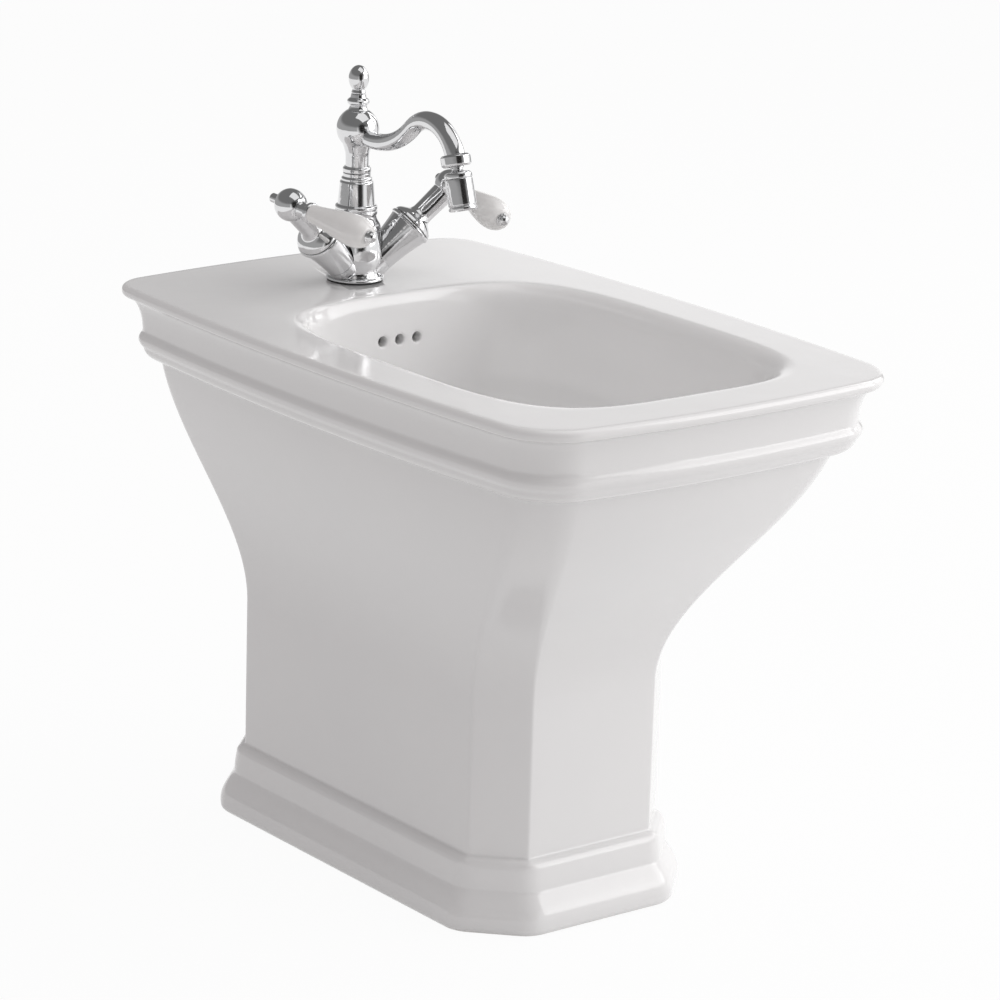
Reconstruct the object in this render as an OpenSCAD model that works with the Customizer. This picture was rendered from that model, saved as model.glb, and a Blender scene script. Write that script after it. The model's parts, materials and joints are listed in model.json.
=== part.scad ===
// Floor standing bidet with a single-hole two-lever mixer and a pop-up waste.
// Sizes are in millimetres. The origin is on the floor under the middle of the rim,
// +Z is up, the user's side faces -Y and the tap stands at the +Y end.

/* [Rim] */
// Width of the rim across its middle
rim_w = 355; // [335:1:385]
// Length of the rim from front to back
rim_l = 555; // [535:1:590]
// Height of the deck above the floor
deck_h = 420; // [405:1:440]
// Outward bow of the long sides at their middle
side_bow = 12.2; // [0:0.1:18]
// Outward bow of the front and the back at their middle
end_bow = 11.1; // [0:0.1:18]
// Corner radius of the rim at its back
rim_corner_r = 23; // [18:1:32]
// Corner radius of the rim at its front
front_corner_r = 38; // [30:1:44]
// Thickness of the rim's rounded edge
edge_t = 9; // [7:0.5:12]
// Roundness of the rim's edge, measured inwards
edge_round = 3; // [2:0.5:5]

/* [Cornice] */
// Height of the cove under the rim's edge
cove_h = 27; // [22:0.5:29]
// Inset of the cove's foot from the rim
cove_in = 12.5; // [9:0.5:15]
// Height of the bead under the cove
bead_h = 12; // [9:0.5:14]
// Projection of the bead
bead_out = 2.5; // [1:0.1:4]
// Height of the quarter round under the bead
ovolo_h = 10; // [7:0.5:12]
// Inset of the body under the cornice
neck_in = 21.5; // [19:0.5:26]
// Corner radius of the body under the cornice, at its back
neck_corner_r = 18; // [14:0.5:22]

/* [Pedestal] */
// Width of the pedestal
pedestal_w = 177; // [168:1:195]
// Distance of the pedestal's front from the middle of the rim
pedestal_front = 133.5; // [120:0.5:150]
// Distance of the pedestal's back from the middle of the rim
pedestal_back = 221.5; // [215:0.5:235]
// Leg of the pedestal's corner chamfers
pedestal_chamfer = 31.5; // [24:0.5:36]
// Height at which the flare of the body starts to leave the pedestal
flare_foot_h = 172; // [150:1:190]
// Depth below the deck at which the flare would end
flare_top_drop = 32; // [20:1:40]

/* [Plinth] */
// Projection of the plinth at the floor
plinth_out = 19; // [15:0.5:22]
// Height of the plinth's upright band
plinth_band_h = 12; // [8:0.5:16]
// Height of the hollow-backed round above the band
plinth_round_h = 24; // [18:0.5:28]
// Height of the groove above the round
plinth_groove_h = 8; // [6:0.5:10]
// Projection of the groove
plinth_groove_out = 6; // [4:0.5:6.5]
// Radius of the bead on top of the plinth
plinth_bead_r = 7.5; // [6.5:0.5:9]

/* [Bowl] */
// Width of the bowl across its lip
bowl_w = 274; // [262:1:280]
// Width of the ledge in front of the bowl
front_ledge = 42.5; // [37:0.5:52]
// Length of the deck behind the bowl
rear_deck = 154.5; // [152:0.5:164]
// Depth of the bowl at the drain
bowl_depth = 142; // [130:1:150]
// Width of the roll-over lip
lip_w = 14; // [10:0.5:18]
// Height of the roll-over lip
lip_h = 16; // [12:0.5:20]
// Depth at which the bowl's wall turns into its bottom
wall_drop = 70; // [60:1:80]
// Lean of the bowl's wall between lip and bottom
wall_lean = 14; // [8:0.5:18]
// Lean of the bowl's rear wall as a share of the other walls' lean
rear_lean = 0.3; // [0.1:0.05:1]
// Squareness of the lip's outline
lip_square = 4; // [3:0.1:5]
// Squareness of the wall's outline
wall_square = 3.5; // [2.8:0.1:4.5]
// Distance of the drain in front of the bowl's back
drain_inset = 93; // [86:1:103]
// Radius of the drain hole
drain_hole_r = 23; // [22.5:0.1:24]
// Radius of the flat round the drain
drain_flat_r = 40; // [36:1:44]
// Thickness of the ceramic at the drain
drain_t = 27; // [24:0.5:30]

/* [Ceramic wall] */
// Thickness of the ceramic wall
wall = 13; // [10:0.5:14]
// Thickness of the deck
deck_t = 16; // [14:0.5:20]
// Width of the service opening in the back
window_w = 100; // [80:1:110]
// Height of the service opening in the back
window_h = 300; // [240:1:310]
// Radius of the hole for the tap
tap_hole_r = 17.5; // [17:0.1:18]
// Distance of the tap hole in front of the rim's back
tap_inset = 99.5; // [94:0.5:103]

/* [Overflow] */
// Radius of the overflow holes
overflow_r = 4; // [3:0.1:5]
// Pitch of the overflow holes
overflow_pitch = 16; // [12:0.5:17]
// Number of overflow holes
overflow_count = 3; // [1:1:3]
// Depth of the overflow holes below the deck
overflow_drop = 35; // [30:1:40]
// Thickness of the ceramic between the bowl and the overflow channel
channel_skin = 9; // [8:0.5:10]
// Clear depth of the overflow channel
channel_gap = 9; // [7:0.5:10]
// Width of the overflow channel
channel_w = 46; // [44:1:52]

/* [Floor fixing] */
// Radius of the floor screw holes
screw_hole_r = 5.5; // [4:0.1:6]
// Distance between the floor screw holes
screw_spacing = 120; // [112:1:124]
// Distance of the screw holes behind the middle of the rim
screw_y = 150; // [130:1:160]
// Thickness of the screw lugs
lug_t = 22; // [15:1:30]
// Length of the screw lugs
lug_l = 36; // [26:1:44]

/* [Tap body] */
// Thickness of the gasket under the tap
gasket_t = 1.5; // [1:0.1:2.5]
// Radius of the base flange
flange_r = 22.5; // [21.5:0.5:26]
// Radius of the mixer body's foot
foot_r = 19.6; // [18.5:0.1:20.5]
// Height of the mixer body
body_h = 40; // [38:0.5:44]
// Radius of the mixer body's belly
belly_r = 21; // [19.5:0.5:23]
// Height of the point where the valve axes meet
valve_h = 0; // [-1:0.5:4]
// Rise of the valve arms above the horizontal
valve_rise = 42; // [40:0.1:44]
// Forward splay of the valve arms
valve_splay = 15; // [5:0.5:20]
// Radius of the column's ring
column_ring_r = 16.4; // [15.5:0.1:18]
// Radius of the column under the swivel nut
column_top_r = 10.8; // [10.5:0.1:11.5]
// Height of the column's top above the deck
column_top_h = 84; // [80:0.5:88]
// Height of the swivel nut
swivel_nut_h = 5; // [3:0.1:6]
// Radius of the swivel nut
swivel_nut_r = 11; // [10.6:0.1:12]

/* [Spout] */
// Radius of the spout's neck
neck_r = 9; // [8.5:0.1:9.4]
// Length of the spigot that turns in the column
spigot_l = 19.7; // [15:0.1:21]
// Radius of the spout's ball
ball_r = 16.5; // [15:0.1:18]
// Height of the spout's ball above the deck
ball_h = 118; // [112:0.5:122]
// Distance of the crest's centre from the tap's axis
crest_reach = 93; // [85:0.5:108]
// Height of the crest's centre above the deck
crest_h = 105; // [100:0.5:109]
// Radius of the crest
crest_r = 34; // [30:0.5:36]
// Distance of the spout's dip from the tap's axis
dip_reach = 24; // [20:0.5:28]
// Height of the spout's dip above the deck
dip_h = 112; // [109:0.5:114]
// Lean of the outlet from the vertical
outlet_lean = 17; // [5:0.5:25]
// Radius of the spout's tube at the ball
tube_r1 = 6.3; // [5.8:0.1:7]
// Radius of the spout's tube at the outlet
tube_r2 = 7.8; // [7:0.1:8.5]
// Radius of the waterway through the spout's tube
waterway_r = 4.2; // [3.5:0.1:4.6]
// Radius of the collar at the outlet
outlet_collar_r = 11.5; // [10:0.1:12.5]
// Thickness of the collar at the outlet
outlet_collar_t = 9; // [6:0.1:10]

/* [Nozzle] */
// Radius of the nozzle's ball joint
joint_r = 7.5; // [7:0.1:7.8]
// Distance of the ball joint below the collar
joint_drop = 9; // [8.5:0.1:11]
// Outer radius of the nozzle
nozzle_r = 10.6; // [10.2:0.1:11.5]
// Length of the nozzle below its ball joint
nozzle_l = 24; // [20:0.5:30]
// Height of the nozzle's collar above the ball joint
nozzle_top = 5; // [4.5:0.1:5.2]
// Thickness of the seat round the ball joint
seat_t = 0.75; // [0.5:0.05:0.9]

/* [Valves and levers] */
// Distance of the bonnet's seat from the valve axes' meeting point
bonnet_root = 25; // [24:0.5:27]
// Radius of the bonnet at its seat
bonnet_root_r = 12.5; // [12:0.1:13]
// Distance of the bonnet's rim from the valve axes' meeting point
bonnet_rim = 61; // [58:0.5:65]
// Radius of the bonnet's rim
bonnet_rim_r = 18.2; // [17:0.1:19]
// Distance of the lever's hub from the valve axes' meeting point
hub_s = 104.4; // [101:0.2:108]
// Radius of the lever's hub
hub_r = 12.6; // [12:0.1:13.5]
// Radius of the valve spindle
spindle_r = 4; // [3.5:0.1:4.5]
// Radius of the valve cartridge
cartridge_r = 8.9; // [8:0.1:9]
// Inward turn of the levers at rest, from straight ahead
lever_rest = 1; // [0:1:20]
// Distance of the lever's tip from the hub
lever_l = 91; // [82:0.5:100]
// Largest radius of the porcelain handle
handle_r = 12.4; // [10:0.1:13]
// Radius of the porcelain handle at its root
handle_root_r = 7; // [6.5:0.1:8]
// Radius of the lever's metal tip
tip_r = 4.3; // [3.6:0.1:5]
// Radius of the rod through the porcelain
lever_rod_r = 2.5; // [2:0.1:3]
// Radius of the screw head behind the hub
lever_screw_r = 3.7; // [3:0.1:4]

/* [Pop-up linkage] */
// Radius of the lift rod and of the ball rod
rod_r = 2.5; // [2:0.1:2.7]
// Travel of the lift knob
lift_travel = 28; // [20:1:30]
// Radius of the lift knob
knob_r = 7.9; // [7:0.1:9]
// Length of the lift knob
knob_l = 21.6; // [20:0.1:23]
// Height of the lift knob's top above the deck
knob_top_h = 166.8; // [164:0.1:172]
// Distance of the ball rod's pivot behind the drain
pivot_out = 34; // [33:0.5:36]
// Radius of the ball rod's ball
pivot_ball_r = 5.5; // [5:0.1:6]
// Width of the lift strap
strap_w = 10; // [9:0.5:14]
// Thickness of the lift strap
strap_t = 2; // [1.5:0.1:2.4]
// Radius of the holes in the lift strap
strap_hole_r = 3.5; // [3.4:0.1:3.8]
// Pitch of the holes in the lift strap
strap_pitch = 14; // [10:0.5:16]

/* [Waste] */
// Radius of the waste's flange
waste_flange_r = 31.5; // [29:0.5:34]
// Thickness of the waste's flange
waste_flange_t = 2.5; // [2:0.1:4]
// Outer radius of the waste's threaded sleeve
sleeve_r = 21; // [20.5:0.1:21.5]
// Wall of the waste's sleeve and body
waste_wall = 2.5; // [2:0.1:3]
// Height of the conical gasket under the ceramic
cone_h = 7; // [5:0.5:9]
// Height of the back nut
back_nut_h = 12.5; // [10:0.5:15]
// Outer radius of the tail pipe
tail_r = 16; // [15:0.1:16.5]
// Wall of the tail pipe
tail_wall = 1.5; // [1:0.1:1.8]
// Length of the tail pipe
tail_l = 100; // [60:1:110]
// Radius of the plug
plug_r = 17.9; // [17.5:0.1:18.2]
// Thickness of the plug
plug_t = 5; // [4:0.1:6]

/* [Hidden] */

$fn = 48;
eps = 0.01;
run_gap = 0.05;      // radial clearance of a part that turns or slides in its guide
fit_gap = 0.2;       // clearance of a fixed part in its seat
face_gap = 0.3;      // axial clearance between a moving part and its stop
cut = 4;             // how far a cutter runs past the face that it opens

// ---- Places and levels of the ceramic ----
bowl_front = rim_l / 2 - front_ledge;
bowl_back = rim_l / 2 - rear_deck;
drain_y = bowl_back - drain_inset;
tap_y = rim_l / 2 - tap_inset;
bead_seat = 40;              // how far round its underside the plinth's bead is seen, in degrees
edge_z = deck_h - edge_t;
cove_z = edge_z - cove_h;
bead_z = cove_z - bead_h;
neck_z = bead_z - ovolo_h;
flare_top_z = deck_h - flare_top_drop;
ceiling_z = deck_h - deck_t;
floor_z = deck_h - bowl_depth;
turn_z = deck_h - wall_drop;
drain_foot_z = floor_z - drain_t;
groove_z = plinth_band_h + plinth_round_h;
plinth_bead_z = groove_z + plinth_groove_h + plinth_bead_r * sin(bead_seat);
cavity_in = cove_in + wall;
drain_lip_r = drain_hole_r / 2;
front_extra_r = front_corner_r - rim_corner_r;

// ---- Resolution of the ceramic skin ----
moulding_steps = 4;
turn_steps = 6;
corner_steps = 5;
end_points = 7;
side_points = 7;
flare_steps = 15;
cavity_steps = 9;
offset_leg = 2 - sqrt(2);    // growth of a 45 degree chamfer's leg for each unit of offset

function lerp(a, b, t) = a + (b - a) * t;
function reversed(v) = [for (i = [len(v) - 1 : -1 : 0]) v[i]];
// Angles in equal steps from one angle to another
function angles(from, to, steps) = [for (i = [0 : steps]) lerp(from, to, i / steps)];
function moulding(from = 0) = angles(from, 90, moulding_steps);
function limit(x) = max(0, min(1, x));
function smooth(t) = t * t * (3 - 2 * t);
// Share of the way from the neck's outline to the pedestal's outline at height z
function flare(z) = smooth(limit((flare_top_z - z) / (flare_top_z - flare_foot_h)));

// A corner's point, from its long side at t = 0 to its short side at t = 1, as an arc
// where flatness is 0 and as a chamfer where it is 1
function corner_pt(c, flatness, t) = lerp(
    [c * (cos(90 * t) - 1), c * (sin(90 * t) - 1)],
    [-c * t, -c * (1 - t)],
    flatness);
function corner(a, b, c, flatness, sx, sy, back) = [
    for (i = [0 : corner_steps])
        let (t = (back ? corner_steps - i : i) / corner_steps, p = corner_pt(c, flatness, t))
        [sx * (a + p.x), sy * (b + p.y)]
];
function bowed(p, a, b, bow_x, bow_y) = [
    p.x * (1 + bow_x / a * (1 - pow(p.y / b, 2))),
    p.y * (1 + bow_y / b * (1 - pow(p.x / a, 2)))
];
// Rectangle with rounded or chamfered corners and bowed sides, as a ring of points at height z;
// its corners measure c at the back and c_front at the front
function outline(half_w, front, back, c, c_front, bow_x, bow_y, flatness, z) =
    let (
        a = half_w - bow_x,
        b = (back - front) / 2 - bow_y,
        mid = (front + back) / 2,
        back_x = [for (i = [1 : end_points]) (a - c) * (1 - 2 * i / (end_points + 1))],
        front_x = [for (i = [1 : end_points]) (a - c_front) * (1 - 2 * i / (end_points + 1))],
        side_y = [for (i = [1 : side_points]) lerp(b - c, c_front - b, i / (side_points + 1))],
        base = concat(
            corner(a, b, c, flatness, 1, 1, false),
            [for (x = back_x) [x, b]],
            corner(a, b, c, flatness, -1, 1, true),
            [for (y = side_y) [-a, y]],
            corner(a, b, c_front, flatness, -1, -1, false),
            [for (x = front_x) [-x, -b]],
            corner(a, b, c_front, flatness, 1, -1, true),
            [for (y = reversed(side_y)) [a, y]]))
    [for (p = base) let (q = bowed(p, a, b, bow_x, bow_y)) [q.x, q.y + mid, z]];

// Ring of the rim or the cornice, inset by d
function rim_ring(z, d) =
    let (c = lerp(rim_corner_r, neck_corner_r, d / neck_in))
    outline(
        rim_w / 2 - d, -rim_l / 2 + d, rim_l / 2 - d,
        c, c + front_extra_r, side_bow, end_bow, 0, z);
// Ring of the flared body, the pedestal or the plinth, moved out by d
function body_ring(z, d) =
    let (f = flare(z), c = lerp(neck_corner_r, pedestal_chamfer, f) + d * offset_leg)
    outline(
        lerp(rim_w / 2 - neck_in, pedestal_w / 2, f) + d,
        lerp(-rim_l / 2 + neck_in, -pedestal_front, f) - d,
        lerp(rim_l / 2 - neck_in, pedestal_back, f) + d,
        c, c + front_extra_r * (1 - f), side_bow * (1 - f), end_bow * (1 - f), f, z);
function mix_rings(r1, r2, t, z) = [
    for (i = [0 : len(r1) - 1]) [lerp(r1[i].x, r2[i].x, t), lerp(r1[i].y, r2[i].y, t), z]
];

// Directions of the bowl's points, shared by every ring of the bowl
bowl_dirs = [for (p = rim_ring(0, 0)) atan2(p.y / rim_l, p.x / rim_w)];
function squared(a, n) = pow(pow(abs(cos(a)), n) + pow(abs(sin(a)), n), -1 / n);
// Ring of the bowl: inset from the lip, drawn towards the drain by m, moved out by d
function bowl_ring(z, inset, m, square, d) =
    let (
        rear_inset = rear_lean * inset,
        hw = bowl_w / 2 - inset + d,
        hl = (bowl_front + bowl_back - inset - rear_inset) / 2 + d,
        mid = (bowl_back - bowl_front + inset - rear_inset) / 2,
        r = drain_flat_r + d)
    [for (a = bowl_dirs)
        let (s = squared(a, square))
        [lerp(hw * s * cos(a), r * cos(a), m),
         lerp(mid + hl * s * sin(a), drain_y + r * sin(a), m),
         z]];

outer_rings = concat(
    [for (s = [[-cut, 3], [0, 3], [1.5, 1], [4, 0]]) body_ring(s[0], plinth_out - s[1])],
    [for (t = moulding())
        body_ring(plinth_band_h + plinth_round_h * t / 90,
                  lerp(plinth_groove_out + 1, plinth_out, cos(t)))],
    [body_ring(groove_z + 1.5, plinth_groove_out)],
    [body_ring(groove_z + plinth_groove_h - 2, plinth_groove_out)],
    [for (t = angles(-bead_seat, 90, moulding_steps + 1))
        body_ring(plinth_bead_z + plinth_bead_r * sin(t), plinth_bead_r * cos(t))],
    [for (i = [0 : flare_steps]) body_ring(lerp(flare_foot_h, neck_z, i / flare_steps), 0)],
    [for (t = moulding(20))
        mix_rings(body_ring(neck_z, 0), rim_ring(bead_z, cove_in + 0.5), sin(t),
                  bead_z - ovolo_h * cos(t))],
    [for (u = [0.15, 0.5, 0.85, 1])
        rim_ring(bead_z + bead_h * u, cove_in - bead_out * sin(180 * u))],
    [for (t = moulding(15))
        rim_ring(cove_z + cove_h * sin(t), lerp(cove_in, edge_round, 1 - cos(t)))],
    [for (t = angles(-60, 90, moulding_steps + 1))
        rim_ring(edge_z + edge_t / 2 * (1 + sin(t)), edge_round * (1 - cos(t)))]);
bowl_rings = concat(
    [for (t = moulding())
        bowl_ring(deck_h - lip_h * (1 - cos(t)), lip_w * sin(t), 0,
                  lerp(lip_square, wall_square, t / 90), 0)],
    [for (t = angles(0, 90, turn_steps))
        bowl_ring(lerp(turn_z, floor_z, sin(t)), lip_w + wall_lean, 1 - cos(t), wall_square, 0)],
    [bowl_ring(floor_z, 0, 1, wall_square, drain_lip_r - drain_flat_r)]);
inner_rings = concat(
    [bowl_ring(floor_z - wall, 0, 1, wall_square, drain_lip_r - drain_flat_r)],
    [for (t = angles(90, 0, turn_steps))
        bowl_ring(lerp(turn_z, floor_z, sin(t)) - wall * sin(t), lip_w + wall_lean,
                  1 - cos(t), wall_square, wall * cos(t))],
    [bowl_ring(ceiling_z - 5, lip_w + 2, 0, wall_square, wall)],
    [bowl_ring(ceiling_z, lip_w - 3, 0, wall_square, wall)],
    [rim_ring(ceiling_z, cavity_in + 4)],
    [rim_ring(ceiling_z - 5, cavity_in)],
    [rim_ring(bead_z, cavity_in)],
    [for (i = [0 : cavity_steps]) body_ring(lerp(neck_z, flare_foot_h, i / cavity_steps), -wall)],
    [body_ring(-cut, -wall)]);

// Closed skin through a loop of rings, the last of which joins the first
module skin(rings) {
    n = len(rings[0]);
    m = len(rings);
    polyhedron(
        points = [for (r = rings) each r],
        faces = [
            for (i = [0 : m - 1], j = [0 : n - 1])
                let (i2 = (i + 1) % m, j2 = (j + 1) % n)
                each [
                    [i * n + j, i2 * n + j, i2 * n + j2],
                    [i * n + j, i2 * n + j2, i * n + j2]
                ]
        ],
        convexity = 12);
}

// Point [y, z] on the bowl's rear wall at height z, moved out by d
function rear_wall(z, d) = [
    bowl_back - rear_lean * (lip_w + wall_lean * (deck_h - lip_h - z) / (wall_drop - lip_h)) + d, z
];
// Line down the bowl's rear wall and along its bottom to the drain, moved out by d
function rear_line(top_z, d) = concat(
    [rear_wall(top_z, d)],
    [for (t = angles(0, 90, turn_steps))
        [lerp(rear_wall(turn_z, 0).x, drain_y + drain_flat_r, 1 - cos(t)) + d * cos(t),
         lerp(turn_z, floor_z, sin(t)) - d * sin(t)]],
    [[drain_y + drain_lip_r, floor_z - d]]);
module rear_band(w, top_z, d1, d2) {
    rotate([90, 0, 90])
        translate([0, 0, -w / 2])
            linear_extrude(w)
                polygon(concat(rear_line(top_z, d1), reversed(rear_line(top_z, d2))));
}

channel_skin_out = channel_skin + channel_gap;
overflow_z = deck_h - overflow_drop;

module overflow_duct() {
    rear_band(channel_w + 2 * channel_skin, ceiling_z + 3, wall - 4, channel_skin_out + channel_skin);
    translate([0, drain_y, drain_foot_z])
        cylinder(r = drain_flat_r + 4, h = drain_t - wall + 3);
}
module overflow_cuts() {
    rear_band(channel_w, overflow_z + overflow_r + 3, channel_skin, channel_skin_out);
    for (i = [0 : overflow_count - 1])
        translate([overflow_pitch * (i - (overflow_count - 1) / 2),
                   rear_wall(overflow_z, -wall).x, overflow_z])
            rotate([-90, 0, 0])
                cylinder(r = overflow_r, h = wall + channel_skin + channel_gap / 2, $fn = 24);
}

lug_reach = pedestal_w / 2 - wall + 2 - (screw_spacing / 2 - 2.4 * screw_hole_r);
module screw_lugs() {
    for (s = [-1, 1])
        translate([s * (pedestal_w / 2 - wall + 2) - (s > 0 ? lug_reach : 0), screw_y - lug_l / 2, 0])
            cube([lug_reach, lug_l, lug_t]);
}
module rear_window() {
    translate([0, rim_l / 2, 0])
        rotate([90, 0, 0])
            linear_extrude(rim_l / 2 - pedestal_back + 2 * wall + cut)
                union() {
                    translate([-window_w / 2, -cut])
                        square([window_w, window_h - window_w / 2 + cut]);
                    translate([0, window_h - window_w / 2])
                        circle(r = window_w / 2);
                }
}

module ceramic_body() {
    color("white")
        difference() {
            union() {
                skin(concat(outer_rings, bowl_rings, inner_rings));
                overflow_duct();
                screw_lugs();
            }
            translate([-rim_w, -rim_l, -2 * cut])
                cube([2 * rim_w, 2 * rim_l, 2 * cut]);
            translate([0, tap_y, ceiling_z - cut])
                cylinder(r = tap_hole_r, h = deck_t + 2 * cut);
            translate([0, drain_y, drain_foot_z - cut])
                cylinder(r = drain_hole_r, h = drain_t + 2 * cut);
            overflow_cuts();
            rear_window();
            for (s = [-1, 1])
                translate([s * screw_spacing / 2, screw_y, -cut])
                    cylinder(r = screw_hole_r, h = lug_t + 2 * cut, $fn = 32);
        }
}

// ---- Tap: everything stands on the deck round the tap's axis ----
module at_tap(h = 0) {
    translate([0, tap_y, deck_h + h])
        children();
}
module turned(points) {
    rotate_extrude()
        polygon(points);
}
module ring(r_out, r_in, h) {
    difference() {
        cylinder(r = r_out, h = h);
        translate([0, 0, -cut])
            cylinder(r = r_in, h = h + 2 * cut);
    }
}

rod_clear_r = rod_r + 0.5;
inlet_r = 5;            // M10 thread of the two supply tails
inlet_depth = 8.6;
inlet_x = 10;
inlet_y = -2;
stud_r = 3.9;
stud_y = 11.5;
stud_depth = 8.6;
socket_bore = 20;       // how close the cartridges come to the rod's bore
flange_h = 2.5;
seat_clear = 1.2;       // room round the foot of each bonnet where it sits in the belly

module base_gasket() {
    color("dimgray")
        at_tap()
            ring(flange_r - 1, tap_hole_r, gasket_t);
}
module base_flange() {
    color("silver")
        at_tap(gasket_t)
            turned([
                [foot_r + fit_gap, 0], [flange_r, 0], [flange_r, 1], [flange_r - 0.3, 1.7],
                [flange_r - 1, 2.2], [flange_r - 1.8, flange_h], [foot_r + fit_gap, flange_h]
            ]);
}

// Frame of a valve: +Z runs out along the valve's axis and +X along its lever
module at_valve(side) {
    azimuth = side < 0 ? 180 + valve_splay : -valve_splay;
    lever_turn = atan2(-cos(azimuth), -sin(azimuth) * sin(valve_rise)) - side * lever_rest;
    at_tap(valve_h)
        rotate([0, 0, azimuth])
            rotate([0, 90 - valve_rise, 0])
                rotate([0, 0, lever_turn])
                    children();
}

module mixer_body() {
    waist_r = foot_r - 1.6;
    color("silver")
        difference() {
            union() {
                at_tap(gasket_t)
                    turned(concat(
                        [[0, 0], [foot_r, 0], [foot_r, flange_h + 0.3], [waist_r + 0.6, flange_h + 2]],
                        [[waist_r, flange_h + 4.5], [belly_r - 2, flange_h + 8]],
                        [[belly_r - 0.5, flange_h + 12]],
                        [[belly_r, flange_h + 16], [belly_r - 0.4, body_h - 13], [belly_r - 1.5, body_h - 7]],
                        [[belly_r - 2, body_h - gasket_t], [0, body_h - gasket_t]]));
                for (side = [-1, 1])
                    at_valve(side)
                        cylinder(r = bonnet_root_r, h = bonnet_root);
            }
            at_tap(gasket_t - belly_r)
                cylinder(r = 2 * belly_r, h = belly_r);
            at_tap(gasket_t - eps)
                ring(2 * belly_r, foot_r - run_gap, flange_h + fit_gap);
            at_tap()
                cylinder(r = rod_clear_r, h = body_h + cut, $fn = 32);
            for (s = [-1, 1])
                at_tap(gasket_t - eps)
                    translate([s * inlet_x, inlet_y, 0])
                        cylinder(r = inlet_r, h = inlet_depth, $fn = 32);
            at_tap(gasket_t - eps)
                translate([0, stud_y, 0])
                    cylinder(r = stud_r + run_gap, h = stud_depth, $fn = 32);
            for (side = [-1, 1])
                at_valve(side)
                    translate([0, 0, socket_bore])
                        cylinder(r = cartridge_r + run_gap, h = bonnet_root);
            for (side = [-1, 1])
                at_valve(side)
                    translate([0, 0, bonnet_root])
                        cylinder(r = bonnet_root_r + seat_clear, h = bonnet_root);
            bonnet_room(-1);
            bonnet_room(1);
        }
}

// Room that the body and the column's foot leave to the bonnet's bell
module bonnet_room(side) {
    at_valve(side)
        translate([0, 0, bonnet_root])
            cylinder(r1 = bonnet_root_r + face_gap, r2 = bonnet_rim_r + face_gap, h = bonnet_rim - bonnet_root);
}

ring_h = 7;                               // height of the column's ring
ring_foot = body_h + 12;                  // height of the ring's foot above the deck
cone_top = column_top_h - 7;
spigot_r = neck_r - 0.5;
bearing_foot = column_top_h - spigot_l - face_gap;

module column() {
    flare_r = belly_r - 2;
    color("silver")
        difference() {
            at_tap()
                turned(concat(
                    [[0, body_h], [flare_r, body_h], [flare_r, body_h + 1.5]],
                    [for (t = [0.25 : 0.25 : 1])
                        [lerp(flare_r, column_ring_r - 0.9, smooth(t)), lerp(body_h + 2, ring_foot - 1, t)]],
                    [[column_ring_r - 0.3, ring_foot], [column_ring_r, ring_foot + 0.8]],
                    [[column_ring_r, ring_foot + 2.6], [column_ring_r - 0.7, ring_foot + 3]],
                    [[column_ring_r - 0.7, ring_foot + 3.8], [column_ring_r, ring_foot + 4.2]],
                    [[column_ring_r, ring_foot + ring_h - 0.8], [column_ring_r - 0.6, ring_foot + ring_h]],
                    [[column_ring_r - 1.9, ring_foot + ring_h + 0.6], [column_top_r + 2.3, cone_top]],
                    [[column_top_r + 1.2, cone_top + 1], [column_top_r + 1.2, cone_top + 3]],
                    [[column_top_r, cone_top + 4], [column_top_r, column_top_h], [0, column_top_h]]));
            at_tap(body_h - cut)
                cylinder(r = waterway_r + 1, h = ring_h + column_top_h);
            at_tap(bearing_foot - face_gap)
                cylinder(r = spigot_r + run_gap, h = spigot_l + cut);
            bonnet_room(-1);
            bonnet_room(1);
        }
}
module swivel_nut() {
    color("silver")
        at_tap(column_top_h)
            turned([
                [neck_r + run_gap, 0], [swivel_nut_r - 0.8, 0], [swivel_nut_r, 0.8],
                [swivel_nut_r, swivel_nut_h - 1.4], [swivel_nut_r - 1.2, swivel_nut_h - 0.4],
                [neck_r + 0.8, swivel_nut_h], [neck_r + run_gap, swivel_nut_h]
            ]);
}

o_ring_r = 0.7;
o_ring_h = bearing_foot + 6;
module spout_o_ring() {
    color("dimgray")
        at_tap(o_ring_h)
            rotate_extrude()
                translate([spigot_r - o_ring_r - run_gap, 0])
                    circle(r = o_ring_r, $fn = 16);
}

// ---- Spout: a dip arc that runs into a crest arc, in the plane x = 0 ----
dip_gap = dip_h - crest_h;
dip_r = (pow(crest_reach - dip_reach, 2) + pow(dip_gap, 2) - pow(crest_r, 2)) / (2 * (crest_r - dip_gap));
meet_angle = atan2(dip_h + dip_r - crest_h, dip_reach - crest_reach);
dip_start = -asin(dip_reach / dip_r) - 90;
dip_steps = 10;
crest_steps = 14;
// Points [reach, height, heading] of the spout's centre line, the heading above the horizontal
spout_line = concat(
    [for (i = [0 : dip_steps])
        let (a = lerp(dip_start, meet_angle - 180, i / dip_steps))
        [dip_reach + dip_r * cos(a), dip_h + dip_r + dip_r * sin(a), a + 90]],
    [for (i = [1 : crest_steps])
        let (a = lerp(meet_angle, outlet_lean, i / crest_steps))
        [crest_reach + crest_r * cos(a), crest_h + crest_r * sin(a), a - 90]]);
outlet_reach = crest_reach + crest_r * cos(outlet_lean);
outlet_h = crest_h + crest_r * sin(outlet_lean);

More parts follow.
